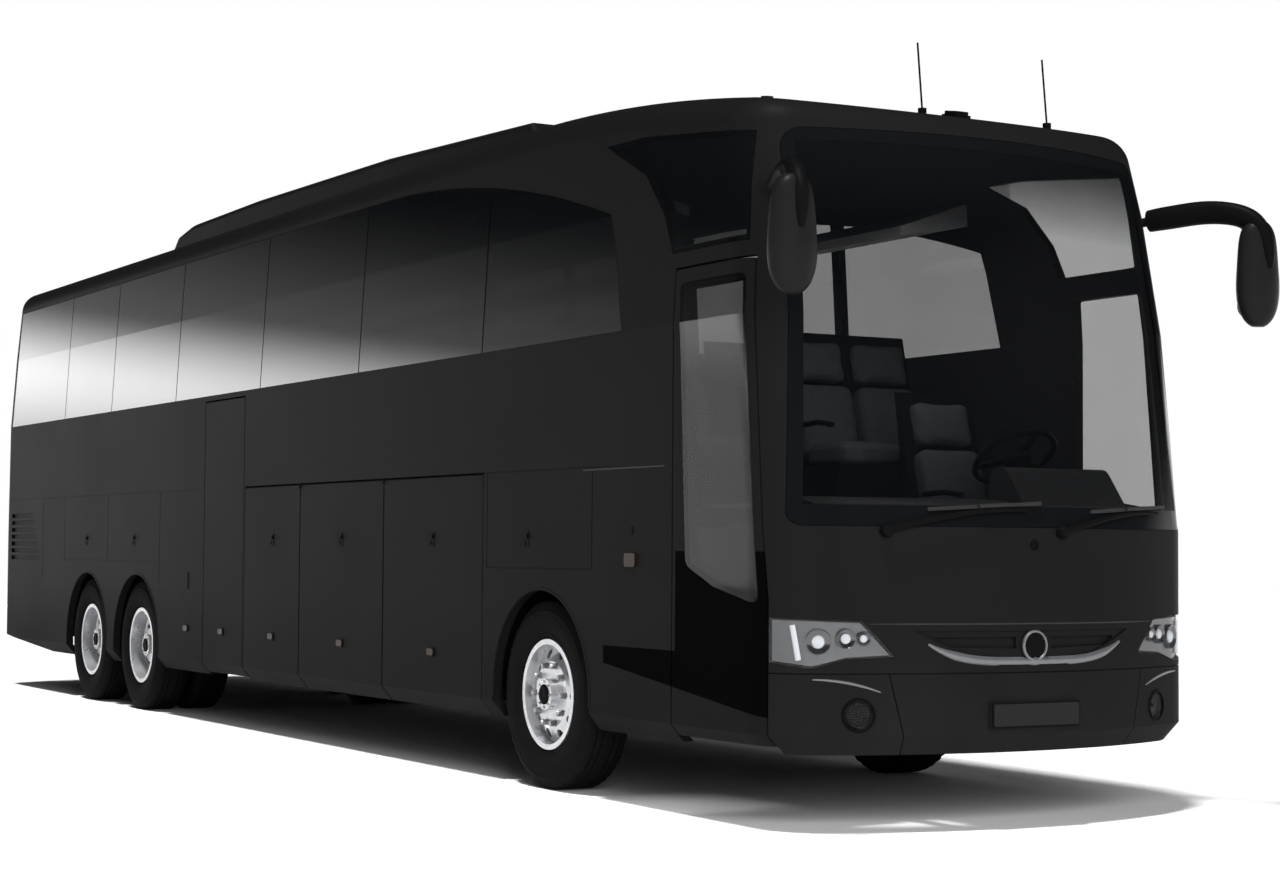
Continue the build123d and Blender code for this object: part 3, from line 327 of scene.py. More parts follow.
dress(glazing("side_tint", 0.8, side_clearness), "right_side_glass", "left_side_glass", "rear_glass")
dress(glazing("door_tint", 0.22, door_clearness), "front_door_glass")
dress(glazing("screen_tint", 0.02, screen_clearness), "windscreen")


# Grille: a satin metal bar follows the lower edge of the recess in the mask, with a plain round cap in
# the middle and a rubber seam above. All of it is pressed into the moulded mask, and so is the round
# sensor below the screen.
def skin(*names):
    """Search tree over the faces of some CAD nodes."""
    bm = bmesh.new()
    for name in names:
        bm.from_mesh(nodes[name].data)
    tree = BVHTree.FromBMesh(bm)
    bm.free()
    return tree


def meet(tree, start, heading):
    """Where a ray first meets a skin, and the normal on the ray's side."""
    heading = Vector(heading)
    spot, normal, _, _ = tree.ray_cast(Vector(start), heading)
    return spot, normal if normal.dot(heading) < 0 else -normal


def sweep(bm, path, normals, section, sizes=None, closed=False):
    """Skin a closed (across, out) section along a path; sizes scales it at each point.

    normals holds the outward direction at each point, or one for them all.
    """
    if isinstance(normals, Vector):
        normals = [normals] * len(path)
    rings = []
    count = len(path)
    for i, point in enumerate(path):
        before = path[i - 1] if i or closed else point
        after = path[(i + 1) % count] if i + 1 < count or closed else point
        along = (after - before).normalized()
        out = (normals[i] - along * normals[i].dot(along)).normalized()
        aside = along.cross(out)
        scale = sizes[i] if sizes else 1.0
        rings.append([bm.verts.new(point + (aside * a + out * b) * scale) for a, b in section])
    for i in range(count if closed else count - 1):
        one, two = rings[i], rings[(i + 1) % count]
        for j in range(len(section)):
            k = (j + 1) % len(section)
            bm.faces.new((one[j], one[k], two[k], two[j]))
    if not closed:
        bm.faces.new(list(reversed(rings[0])))
        bm.faces.new(rings[-1])


def sweep_on(bm, line, lift, section, sizes=None):
    """Sweep a section along the (spot, normal) pairs of a skin, lifted off it."""
    path = [spot + normal * lift for spot, normal in line]
    sweep(bm, path, [normal for _, normal in line], section, sizes)


def oval(half_width, half_height, count):
    turns = [2 * math.pi * i / count for i in range(count)]
    return [(half_width * math.cos(t), half_height * math.sin(t)) for t in turns]


def turned(bm, profile, count, place=Matrix()):
    """Revolve (radius, along) points about z; a radius of 0 closes the end."""
    rings = []
    for radius, along in profile:
        steps = range(count) if radius else range(1)
        turns = [2 * math.pi * i / count for i in steps]
        spots = [Vector((radius * math.cos(t), radius * math.sin(t), along)) for t in turns]
        rings.append([bm.verts.new(place @ spot) for spot in spots])
    for one, two in zip(rings, rings[1:]):
        for j in range(count):
            k = (j + 1) % count
            corners = [one[j % len(one)], one[k % len(one)], two[k % len(two)], two[j % len(two)]]
            bm.faces.new(list(dict.fromkeys(corners)))


def facing(spot, normal):
    """Matrix that stands z on a skin point."""
    return Matrix.Translation(spot) @ normal.to_track_quat("Z", "Y").to_matrix().to_4x4()


SHARP_ANGLE = math.radians(35)


def add(piece, body, slot):
    """Shade a finished piece smooth between its edges and let it ride on its body."""
    for face in piece.data.polygons:
        face.use_smooth = True
    piece.data.set_sharp_from_angle(angle=SHARP_ANGLE)
    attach(piece, body)
    return piece


def add_turned(name, profile, count, place, material, body, slot):
    """A turned piece by itself."""
    bm = bmesh.new()
    turned(bm, profile, count, place)
    return add(new_object(name, bm, material), body, slot)


plastic, shader, place = finish("grained_plastic", (0.0035, 0.0035, 0.0038), 0.5, Specular_IOR_Level=0.02)
bump(shader, mottle(place, 0.0015), 0.0002)
worn(shader, place, 0.2, 0.42, 0.54)
gasket, shader, place = finish("gasket_rubber", (0.006, 0.006, 0.006), 0.7)
worn(shader, place, 0.05, 0.62, 0.77)
satin_metal, shader, place = finish("satin_metal", (0.14, 0.142, 0.147), 0.4, 0.6)
worn(shader, place, 0.03, 0.35, 0.45)
mask_skin = skin("front_mask", "front_lamps")
FAR_AHEAD = 9


def front(tree, y, z):
    """Where the front of the coach lies at (y, z), and its normal there."""
    return meet(tree, (FAR_AHEAD, y, z), (-1, 0, 0))


def front_bar(name, material, slot, height, half, section, count=40):
    """A bar across the front whose height follows a rule of y, drawn in at its ends."""
    bm = bmesh.new()
    across = [half * (2 * i / count - 1) for i in range(count + 1)]
    ends = [min(1.0, 0.3 + 6 * min(i, count - i) / count) for i in range(count + 1)]
    sweep_on(bm, [front(mask_skin, y, height(y)) for y in across], 0.0, section, ends)
    add(new_object(name, bm, material), "body", slot)


GRILLE_HALF, GRILLE_LOW, GRILLE_RISE = 0.575, 0.79, 0.085
SEAM_Z, SEAM_HALF = 0.968, 0.86
CAP_Z, CAP_RADIUS, SENSOR_Z = 0.863, 0.074, 1.339


def grille_sag(y):
    return GRILLE_LOW + GRILLE_RISE * (y / GRILLE_HALF) ** 4


front_bar("grille_bar", satin_metal, "polished_alloy", grille_sag, GRILLE_HALF, oval(0.021, 0.015, 12))
front_bar("grille_seam", gasket, "black_plastic", lambda y: SEAM_Z, SEAM_HALF, oval(0.004, 0.0015, 8))
cap_line = [
    (CAP_RADIUS, -0.006),
    (CAP_RADIUS, 0.006),
    (CAP_RADIUS - 0.004, 0.01),
    (CAP_RADIUS - 0.01, 0.01),
    (CAP_RADIUS - 0.013, 0.004),
]
dish_line = [(CAP_RADIUS - 0.008, 0.001), (CAP_RADIUS - 0.012, 0.005), (0.03, 0.007), (0, 0.008)]
cap_spot = facing(*front(mask_skin, 0, CAP_Z))
add_turned("grille_cap_ring", cap_line, 48, cap_spot, satin_metal, "body", "polished_alloy")
add_turned("grille_cap", dish_line, 48, cap_spot, plastic, "body", "black_plastic")
eye_line = [(0.026, -0.004), (0.026, 0.006), (0.022, 0.009), (0.016, 0.007)]
eye_line += [(0.013, 0.003), (0.006, 0.006), (0, 0.007)]
eye_spot = facing(*front(mask_skin, 0, SENSOR_Z))
add_turned("front_sensor", eye_line, 32, eye_spot, plastic, "body", "black_plastic")

# Front lamps: a chromed plate with three bowls behind the clear moulded lens, and a smoked round fog lamp in
# a dark bezel,
# with a painted highlight above it: a thin bright metal strip on the bumper that stands in for the light
# caught there.
# The lenses are clipped into the mask and bumper.
clear, shader, place = finish("clear_lens", (0.1, 0.102, 0.105), 0.04, Specular_IOR_Level=0.5)
worn(shader, place, 0.02, 0.02, 0.07)
feed(shader, "Alpha", mottle(place, 0.05) * 0.06 + 0.1)
FOG_TOP_Z = 0.7
feed(shader, "Base Color", tint(axes(place)[2] > FOG_TOP_Z, (0.005, 0.0052, 0.0055), (0.1, 0.102, 0.105)))
dress(clear, "front_lamps")
chrome, shader, place = finish("lamp_chrome", (0.12, 0.122, 0.126), 0.15, 1.0)
worn(shader, place, 0.01, 0.1, 0.25)
bulb_glass, shader, place = finish("bulb_glass", (0.5, 0.52, 0.55), 0.05)
worn(shader, place, 0.01, 0.03, 0.07)
smoked, shader, place = finish("dark_reflector", (0.004, 0.0042, 0.0044), 0.3, Specular_IOR_Level=0.05)
worn(shader, place, 0.01, 0.15, 0.25)


def plate(bm, outline, lay, low, high, step):
    """A sheet inside a 2-D outline; lay(u, v, lift) puts a point on what carries the sheet."""
    border = []
    for a, b in zip(outline, outline[1:] + outline[:1]):
        a, b = Vector(a), Vector(b)
        parts = max(1, round((b - a).length / step))
        border += [a.lerp(b, i / parts) for i in range(parts)]
    us, vs = [p.x for p in border], [p.y for p in border]
    inner = []
    for i in range(1, int((max(us) - min(us)) / step)):
        for j in range(1, int((max(vs) - min(vs)) / step)):
            p = Vector((min(us) + i * step, min(vs) + j * step))
            crossings = 0
            for a, b in zip(border, border[1:] + border[:1]):
                if (a.y > p.y) != (b.y > p.y) and p.x < a.x + (b.x - a.x) * (p.y - a.y) / (b.y - a.y):
                    crossings += 1
            if crossings % 2 and min((p - q).length for q in border) > step * 0.5:
                inner.append(p)
    flat, _, faces, _, _, _ = delaunay_2d_cdt(border + inner, [], [list(range(len(border)))], 1, 1e-6)
    top = [bm.verts.new(lay(p.x, p.y, high)) for p in flat]
    back = [bm.verts.new(lay(p.x, p.y, low)) for p in flat]
    for face in faces:
        bm.faces.new([top[i] for i in face])
        bm.faces.new([back[i] for i in reversed(face)])
    count = len(border)
    for i in range(count):
        j = (i + 1) % count
        bm.faces.new((top[i], back[i], back[j], top[j]))


def add_plate(name, outline, lay, low, high, step, material, body, slot):
    """A sheet by itself."""
    bm = bmesh.new()
    plate(bm, outline, lay, low, high, step)
    return add(new_object(name, bm, material), body, slot)


def lying(tree, start, heading):
    """A rule that lays (u, v) on a skin, along rays that set out from start(u, v)."""

    def lay(u, v, lift):
        spot, normal = meet(tree, start(u, v), heading)
        return spot + normal * lift

    return lay


lamp_skin = skin("front_lamps")
bumper_skin = skin("front_bumper", "front_lamps")
LAMP_OUTLINE = [(1.24, 0.985), (0.89, 0.972), (0.755, 0.824), (0.955, 0.812), (1.1, 0.772), (1.24, 0.795)]
LAMP_DEPTH = 0.02
BOWLS = [(1.075, 0.885, 0.062), (0.955, 0.9, 0.048), (0.875, 0.9, 0.036)]
BOWL_LINE = [(1, 0), (1, 0.014), (0.94, 0.015), (0.8, 0.008), (0.55, 0.002), (0, 0.001)]
BULB_LINE = [(0.5, 0.002), (0.47, 0.009), (0.3, 0.014), (0, 0.016)]
STRIP_Y, STRIP_LEAN, STRIP_Z, STRIP_PITCH = 1.155, 0.0025, 0.8, 0.018
HIGHLIGHT_Y, HIGHLIGHT_PITCH, HIGHLIGHT_Z, HIGHLIGHT_FALL = 1.1, 0.02, 0.712, 0.00026
FOG_Y, FOG_Z = 0.9, 0.548
FOG_BEZEL_LINE = [(0.064, -0.02), (0.068, 0.004), (0.072, 0.007), (0.078, 0.005), (0.082, -0.002)]
FOG_BOWL_LINE = [(0.058, -0.006), (0.05, -0.014), (0.03, -0.02), (0.012, -0.021), (0.01, -0.01), (0, -0.009)]
for sign, word in ((-1, "right"), (1, "left")):
    lay = lying(lamp_skin, lambda u, v: (FAR_AHEAD, sign * u, v), (-1, 0, 0))
    back = -LAMP_DEPTH - 0.004
    add_plate(f"{word}_lamp_plate", LAMP_OUTLINE, lay, back, -LAMP_DEPTH, 0.03, chrome, "body", "lamp_lens")
    bm = bmesh.new()
    bulbs = bmesh.new()
    for y, z, radius in BOWLS:
        spot, normal = front(lamp_skin, sign * y, z)
        seat_spot = facing(spot - normal * LAMP_DEPTH, normal)
        turned(bm, [(r * radius, a) for r, a in BOWL_LINE], 40, seat_spot)
        turned(bulbs, [(r * radius, a) for r, a in BULB_LINE], 32, seat_spot)
    add(new_object(f"{word}_lamp_bowls", bm, chrome), "body", "lamp_lens")
    add(new_object(f"{word}_lamp_bulbs", bulbs, bulb_glass), "body", "lamp_lens")
    bm = bmesh.new()
    strip = [(sign * (STRIP_Y + STRIP_LEAN * i), STRIP_Z + STRIP_PITCH * i) for i in range(10)]
    sweep_on(bm, [front(lamp_skin, y, z) for y, z in strip], -0.012, oval(0.014, 0.008, 10))
    add(new_object(f"{word}_lamp_indicator", bm, bulb_glass), "body", "lamp_lens")
    seat_spot = facing(*front(bumper_skin, sign * FOG_Y, FOG_Z))
    add_turned(f"{word}_fog_bezel", FOG_BEZEL_LINE, 40, seat_spot, plastic, "body", "black_plastic")
    add_turned(f"{word}_fog_bowl", FOG_BOWL_LINE, 40, seat_spot, smoked, "body", "lamp_lens")
    # Painted highlight: a thin bright metal strip swept along the bumper above the fog lamp, in place of the
    # light caught there.
    bm = bmesh.new()
    highlight_path = [(sign * (HIGHLIGHT_Y - HIGHLIGHT_PITCH * i), HIGHLIGHT_Z - HIGHLIGHT_FALL * i * i) for i in range(16)]
    ends = [0.3 + 0.7 * math.sin(math.pi * (i + 1) / 17) for i in range(16)]
    sweep_on(bm, [front(bumper_skin, y, z) for y, z in highlight_path], 0.0, oval(0.007, 0.004, 8), ends)
    add(new_object(f"{word}_fog_brow", bm, satin_metal), "body", "polished_alloy")


# Number plate: a blank sheet pressed into a dark moulded holder, which is screwed to the flat of the
# front bumper.
def rounded(half_u, half_v, radius, centre=(0, 0), count=6):
    """Outline of a rectangle with round corners."""
    points = []
    for turn, (su, sv) in enumerate(((1, 1), (-1, 1), (-1, -1), (1, -1))):
        for i in range(count + 1):
            t = math.pi / 2 * (turn + i / count)
            u = su * (half_u - radius) + radius * math.cos(t)
            v = sv * (half_v - radius) + radius * math.sin(t)
            points.append((centre[0] + u, centre[1] + v))
    return points


blank, shader, place = finish("blank_plate", (0.008, 0.008, 0.0085), 0.35, Specular_IOR_Level=0.1)
worn(shader, place, 0.03, 0.3, 0.4)
PLATE_X, PLATE_Z = 6.925, 0.54


def on_bumper(u, v, lift):
    return Vector((PLATE_X + lift, u, v))


for name, material, half_u, half_v, low, high in (
    ("front_plate_holder", plastic, 0.262, 0.058, 0.0, 0.006),
    ("front_plate", blank, 0.255, 0.052, 0.006, 0.009),
):
    shape = rounded(half_u, half_v, 0.01, (0, PLATE_Z))
    add_plate(name, shape, on_bumper, low, high, 0.06, material, "body", "black_plastic")

# Mirrors: moulded heads painted like the coach, hung from a thick black arm that hooks over the front
# of the head, with a flat silvered glass let into the back.
housing, shader, place = finish("mirror_housing", (0.008, 0.008, 0.0083), 0.4, Specular_IOR_Level=0.05)
worn(shader, place, 0.1, 0.35, 0.45)
bump(shader, mottle(place, 0.0015), 0.0001)
dress(housing, "mirrors")
ARM_PATH = [
    (6.43, 1.155, 3.028),
    (6.53, 1.192, 3.036),
    (6.7, 1.275, 3.048),
    (6.84, 1.335, 3.03),
    (6.94, 1.378, 2.985),
    (7.0, 1.398, 2.91),
    (7.024, 1.406, 2.82),
    (7.03, 1.41, 2.74),
]
ARM_SIZES = [0.95, 1.0, 1.0, 0.98, 0.92, 0.8, 0.6, 0.3]


def smooth_path(points, parts):
    """Points along a curve that passes through the given ones."""
    out = []
    points = [Vector(p) for p in points]
    for i in range(len(points) - 1):
        a, b = points[max(i - 1, 0)], points[i]
        c, d = points[i + 1], points[min(i + 2, len(points) - 1)]
        for j in range(parts):
            t = j / parts
            near, far = (c - a) / 2, (d - b) / 2
            rest = 3 * (c - b) - 2 * near - far
            out.append(b + near * t + rest * t * t + (2 * (b - c) + near + far) * t ** 3)
    return out + [points[-1]]


silver, shader, place = finish("mirror_silver", (0.8, 0.82, 0.84), 0.03, 1.0)
worn(shader, place, 0.2, 0.01, 0.04)
MIRROR_FACE_X, MIRROR_Y, MIRROR_Z = 6.9, 1.405, 2.66


def on_mirror(u, v, lift):
    return Vector((MIRROR_FACE_X - lift, u, v))


for sign, word in ((-1, "right"), (1, "left")):
    bm = bmesh.new()
    path = smooth_path([(x, sign * y, z) for x, y, z in ARM_PATH], 5)
    sizes = [v.x for v in smooth_path([(size, 0, 0) for size in ARM_SIZES], 5)]
    sweep(bm, path, Vector((0, sign, 0.2)), oval(0.06, 0.05, 16), sizes)
    add(new_object(f"{word}_mirror_arm", bm, plastic), "body", "black_plastic")
    for name, material, half_u, half_v, low, high in (
        ("mirror_bezel", plastic, 0.088, 0.158, 0.0, 0.004),
        ("mirror_glass", silver, 0.08, 0.15, 0.004, 0.006),
    ):
        shape = rounded(half_u, half_v, 0.05, (sign * MIRROR_Y, MIRROR_Z))
        add_plate(f"{word}_{name}", shape, on_mirror, low, high, 0.05, material, "body", "black_plastic")

# Wipers: pressed arms under black paint, bolted to their spindles in the mask, with rubber blades
# clipped on that lie along the foot of the screen.
screen_skin = skin("windscreen", "windscreen_frame", "front_mask")
WIPERS = [(-0.78, -0.06), (0.16, 0.88)]
SPINDLE_Z, ARM_RISE, BLADE_Z, BLADE_RISE = 1.4, 0.1, 1.5, 0.035
SPINDLE_LINE = [(0.03, -0.01), (0.03, 0.03), (0.024, 0.042), (0, 0.046)]
BLADE_SECTION = [(-0.004, -0.011), (0.004, -0.011), (0.009, 0.006), (-0.009, 0.006)]
holders = bmesh.new()
blades = bmesh.new()
for spindle_y, tip_y in WIPERS:
    reach = tip_y - spindle_y
    arm, blade = [], []
    for i in range(13):
        t = i / 12
        arm_z = SPINDLE_Z + ARM_RISE * math.sin(math.pi * t * 0.55)
        arm.append(front(screen_skin, spindle_y + reach * t, arm_z))
        blade.append(front(screen_skin, spindle_y + reach * (0.28 + 0.86 * t), BLADE_Z + BLADE_RISE * t))
    taper = [1.5 - 0.8 * i / 12 for i in range(13)]
    sweep_on(holders, arm, 0.03, oval(0.011, 0.007, 8), taper)
    turned(holders, SPINDLE_LINE, 24, facing(*arm[0]))
    sweep_on(blades, blade, 0.012, BLADE_SECTION)
    sweep_on(blades, blade[5:9], 0.024, oval(0.01, 0.008, 8))
wiper = add(new_object("wiper_arms", holders, plastic), "body", "black_plastic")
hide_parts("wipers")
dress(plastic, "wipers")
add(new_object("wiper_blades", blades, gasket), "body", "black_plastic")

# Side fittings: latches in square dishes on the flaps and service panels, oval marker lamps along the
# skirt, the indicator behind the door, a small vent and a rubber seam at the waist. All are moulded and
# each is pushed into its own panel.
dark_lens, shader, place = finish("marker_lens", (0.018, 0.007, 0.002), 0.2, Specular_IOR_Level=0.1)
worn(shader, place, 0.01, 0.15, 0.25)
LATCH_Z, MARKER_Z = 1.36, 0.69
INDICATOR_X, INDICATOR_Z, SOCKET_Z = 5.278, 1.252, 1.4
VENT_X, VENT_Z, VENT_RIBS, VENT_PITCH = -1.578, 1.05, 5, 0.025
WAIST_SEAM_X, WAIST_SEAM_Z = (4.76, 5.61), 1.722
FAR_ASIDE = 3
RIGHT = [
    ("latch", -4.203, "right_wall"),
    ("latch", -2.903, "right_wall"),
    ("latch", 0.2, "right_flap_rear"),
    ("latch", 1.438, "right_flap_middle"),
    ("latch", 2.849, "right_flap_front"),
    ("latch", 4.088, "right_wall"),
    ("marker", -1.569, "right_wall"),
    ("marker", -0.792, "middle_door"),
    ("marker", 0.22, "right_flap_rear"),
    ("marker", 1.46, "right_flap_middle"),
    ("marker", 2.866, "right_flap_front"),
]
LEFT = [
    ("latch", -4.203, "left_wall"),
    ("latch", -2.903, "left_wall"),
    ("latch", -0.234, "left_flap_rear"),
    ("latch", 1.438, "left_flap_middle"),
    ("latch", 2.849, "left_flap_front"),
    ("latch", 4.088, "left_wall"),
    ("marker", -1.569, "left_wall"),
    ("marker", -0.234, "left_flap_rear"),
    ("marker", 1.46, "left_flap_middle"),
    ("marker", 2.866, "left_flap_front"),
]


def on_side(sign, node):
    """A rule that lays (x, z) on a side panel."""
    return lying(skin(node), lambda u, v: (u, sign * FAR_ASIDE, v), (0, -sign, 0))


for sign, word, fittings in ((-1, "right", RIGHT), (1, "left", LEFT)):
    for number, (kind, x, node) in enumerate(fittings):
        body = "body" if node == f"{word}_wall" else node
        lay = on_side(sign, node)
        name = f"{word}_{kind}_{number}"
        if kind == "latch":
            bm = bmesh.new()
            plate(bm, rounded(0.05, 0.046, 0.012, (x, LATCH_Z)), lay, -0.002, 0.003, 0.05)
            plate(bm, rounded(0.04, 0.013, 0.006, (x, LATCH_Z + 0.016)), lay, 0.003, 0.012, 0.03)
            plate(bm, rounded(0.012, 0.012, 0.011, (x, LATCH_Z - 0.022)), lay, 0.003, 0.007, 0.02)
            add(new_object(name, bm, plastic), body, "black_plastic")
        else:
            edge = rounded(0.058, 0.03, 0.028, (x, MARKER_Z))
            pane = rounded(0.046, 0.02, 0.018, (x, MARKER_Z))
            add_plate(f"{name}_bezel", edge, lay, -0.002, 0.006, 0.05, plastic, body, "black_plastic")
            add_plate(name, pane, lay, 0.006, 0.011, 0.03, dark_lens, body, "lamp_lens")
    lay = on_side(sign, f"{word}_wall")
    pane = rounded(0.055, 0.035, 0.015, (INDICATOR_X, INDICATOR_Z))
    add_plate(f"{word}_side_indicator", pane, lay, -0.002, 0.012, 0.04, dark_lens, "body", "lamp_lens")
    bm = bmesh.new()
    plate(bm, rounded(0.022, 0.022, 0.02, (INDICATOR_X, SOCKET_Z)), lay, -0.002, 0.004, 0.04)
    plate(bm, rounded(0.055, 0.075, 0.01, (VENT_X, VENT_Z)), lay, -0.002, 0.002, 0.05)
    for i in range(VENT_RIBS):
        rib_z = VENT_Z + VENT_PITCH * (i - (VENT_RIBS - 1) / 2)
        plate(bm, rounded(0.045, 0.006, 0.003, (VENT_X, rib_z)), lay, 0.002, 0.008, 0.03)
    add(new_object(f"{word}_side_covers", bm, plastic), "body", "black_plastic")
    bm = bmesh.new()
    seam_start, seam_end = WAIST_SEAM_X
    line = [lay(seam_start + (seam_end - seam_start) * i / 10, WAIST_SEAM_Z, 0.0) for i in range(11)]
    sweep(bm, line, Vector((0, sign, 0)), oval(0.004, 0.0012, 8))
    add(new_object(f"{word}_waist_seam", bm, gasket), "body", "black_plastic")

# Arch lips: a rolled bead round each wheel opening, pressed with the wall and painted like it. The
# liners behind are moulded in black plastic.
dress(plastic, "wheel_arch_liners")
ARCH_RADIUS, WHEEL_Z, LIP_Y = 0.575, 0.515, 1.272
AXLES = {"front": 4.27, "drive": -2.81, "tag": -4.16}
for sign, word in ((-1, "right"), (1, "left")):
    bm = bmesh.new()
    for axle_x in AXLES.values():
        turns = [math.radians(-4 + 188 * i / 48) for i in range(49)]
        hub = Vector((axle_x, sign * LIP_Y, WHEEL_Z))
        path = [hub + ARCH_RADIUS * Vector((math.cos(t), 0, math.sin(t))) for t in turns]
        sweep(bm, path, Vector((0, sign, 0)), oval(0.011, 0.008, 8))
    add(new_object(f"{word}_arch_lips", bm, paint), "body", "body_paint")


# Tyres: moulded rubber with a rim guard and rings on the walls, four grooves round the tread and
# cut shoulders. The twin tyres of a drive wheel are one piece.
rubber, shader, place = finish("tyre_rubber", (0.018, 0.018, 0.018), 0.75, Specular_IOR_Level=0.02)
scuff = mottle(place, 0.08, 5)
feed(shader, "Base Color", tint(scuff, (0.004, 0.004, 0.004), (0.009, 0.0087, 0.0083)))
feed(shader, "Roughness", scuff * 0.2 + 0.62)
bump(shader, mottle(place, 0.004), 0.0004)
TRACK_Y, TWIN_SPACING, TYRE_RADIUS = 1.1, 0.33, 0.515
WALL_LINE = [
    (0.287, 0.112),
    (0.304, 0.112),
    (0.316, 0.121),
    (0.324, 0.13),
    (0.33, 0.1335),
    (0.336, 0.1315),
    (0.36, 0.1395),
    (0.3985, 0.1445),
    (0.43, 0.143),
    (0.444, 0.1405),
    (0.448, 0.1425),
    (0.454, 0.142),
    (0.458, 0.1385),
    (0.474, 0.1335),
]
SHOULDER_LINE = [(0.49, 0.1255), (0.503, 0.121), (0.511, 0.114), (0.5145, 0.103)]
GROOVE, GROOVE_DEPTH, GROOVES = 0.008, 0.012, (0.075, 0.036)
LUGS, LUG_STEPS, LUG_CUT = 48, 3, 0.008


def tyre(bm, place):
    half = [(r, a, False) for r, a in WALL_LINE] + [(r, a, True) for r, a in SHOULDER_LINE]
    half.append((TYRE_RADIUS, 0.092, False))
    for a in GROOVES:
        half.append((TYRE_RADIUS, a + GROOVE / 2, False))
        half.append((TYRE_RADIUS - GROOVE_DEPTH, a + GROOVE / 3, False))
        half.append((TYRE_RADIUS - GROOVE_DEPTH, a - GROOVE / 3, False))
        half.append((TYRE_RADIUS, a - GROOVE / 2, False))
    loop = half + [(r, -a, cut) for r, a, cut in reversed(half)]
    count = LUGS * LUG_STEPS
    rings = []
    for radius, along, cut in loop:
        ring = []
        for i in range(count):
            t = 2 * math.pi * i / count
            r = radius - LUG_CUT if cut and i % LUG_STEPS == 0 else radius
            ring.append(bm.verts.new(place @ Vector((r * math.cos(t), r * math.sin(t), along))))
        rings.append(ring)
    for one, two in zip(rings, rings[1:] + rings[:1]):
        for i in range(count):
            j = (i + 1) % count
            bm.faces.new((one[i], one[j], two[j], two[i]))


def hub_place(axle, sign, inboard=0.0):
    """Matrix of a wheel's middle plane, with z outboard."""
    turn = Matrix.Rotation(math.radians(-90 * sign), 4, "X")
    return Matrix.Translation((AXLES[axle], sign * (TRACK_Y - inboard), WHEEL_Z)) @ turn


# Rims: forged alloy discs from the frame, each held by ten capped steel nuts, with a moulded hub cap
# and its own ring of bolts in the middle.
alloy, shader, place = finish("polished_alloy", (0.6, 0.61, 0.63), 0.28, 0.7)
grime = mottle(place, 0.06, 5)
feed(shader, "Roughness", grime * 0.2 + 0.2)
feed(shader, "Base Color", tint(grime, (0.68, 0.69, 0.71), (0.4, 0.4, 0.41)))
nut_steel, shader, place = finish("nut_steel", (0.3, 0.3, 0.31), 0.35, 1.0)
worn(shader, place, 0.01, 0.28, 0.48)


def repeat_tree(name, scatter):
    """Node group that sets copies of an object where scatter puts points, and colours them."""
    tree = bpy.data.node_groups.new(name, "GeometryNodeTree")
    for label, kind in (("Part", "Object"), ("Count", "Int"), ("Step", "Vector"), ("Finish", "Material")):
        tree.interface.new_socket(label, in_out="INPUT", socket_type=f"NodeSocket{kind}")
    tree.interface.new_socket("Geometry", in_out="OUTPUT", socket_type="NodeSocketGeometry")
    given = tree.nodes.new("NodeGroupInput").outputs
    part, count, step, material = (Value(given[label]) for label in ("Part", "Count", "Step", "Finish"))
    points, turn = scatter(count, step)
    copied = part.add("GeometryNodeObjectInfo", sockets={"Object": part}, out="Geometry")
    spread = copied.add(
        "GeometryNodeInstanceOnPoints", sockets={"Points": points, "Instance": copied, "Rotation": turn}
    )
    solid = spread.add("GeometryNodeRealizeInstances", sockets={"Geometry": spread})
    done = solid.add("GeometryNodeSetMaterial", sockets={"Geometry": solid, "Material": material})
    tree.links.new(done.socket, tree.nodes.new("NodeGroupOutput").inputs["Geometry"])
    return tree


def in_ring(count, step):
    """Points on a circle whose radius is the step's x, each turned to face outward."""
    radius = step.add("ShaderNodeSeparateXYZ", sockets={0: step}, out="X")
    circle = count.add("GeometryNodeMeshCircle", sockets={"Vertices": count, "Radius": radius})
    index = count.add("GeometryNodeInputIndex")
    angle = index * (2 * math.pi) / count
    return circle, angle.add("ShaderNodeCombineXYZ", sockets={"Z": angle})


def in_row(count, step):
    """Points in a straight row."""
    row = count.add("GeometryNodeMeshLine", sockets={"Count": count, "Offset": step})
    return row, step.add("ShaderNodeCombineXYZ")


ring_tree = repeat_tree("ring_of_parts", in_ring)
row_tree = repeat_tree("row_of_parts", in_row)


def repeated(name, bm, tree, count, step, material, place):
    """Copies of a bmesh by a node group, turned to a mesh and put in place."""
    part = new_object(name + "_part", bm, material)
    piece = new_object(name, bmesh.new(), material)
    spread = piece.modifiers.new("spread", "NODES")
    spread.node_group = tree
    keys = {item.name: item.identifier for item in tree.interface.items_tree if item.in_out == "INPUT"}
    for label, value in (("Part", part), ("Count", count), ("Step", step), ("Finish", material)):
        spread[keys[label]] = value
    ready = piece.evaluated_get(bpy.context.evaluated_depsgraph_get())
    mesh = bpy.data.meshes.new_from_object(ready)
    piece.modifiers.clear()
    piece.data = mesh
    mesh.transform(place)
    bpy.data.objects.remove(part)
    return piece


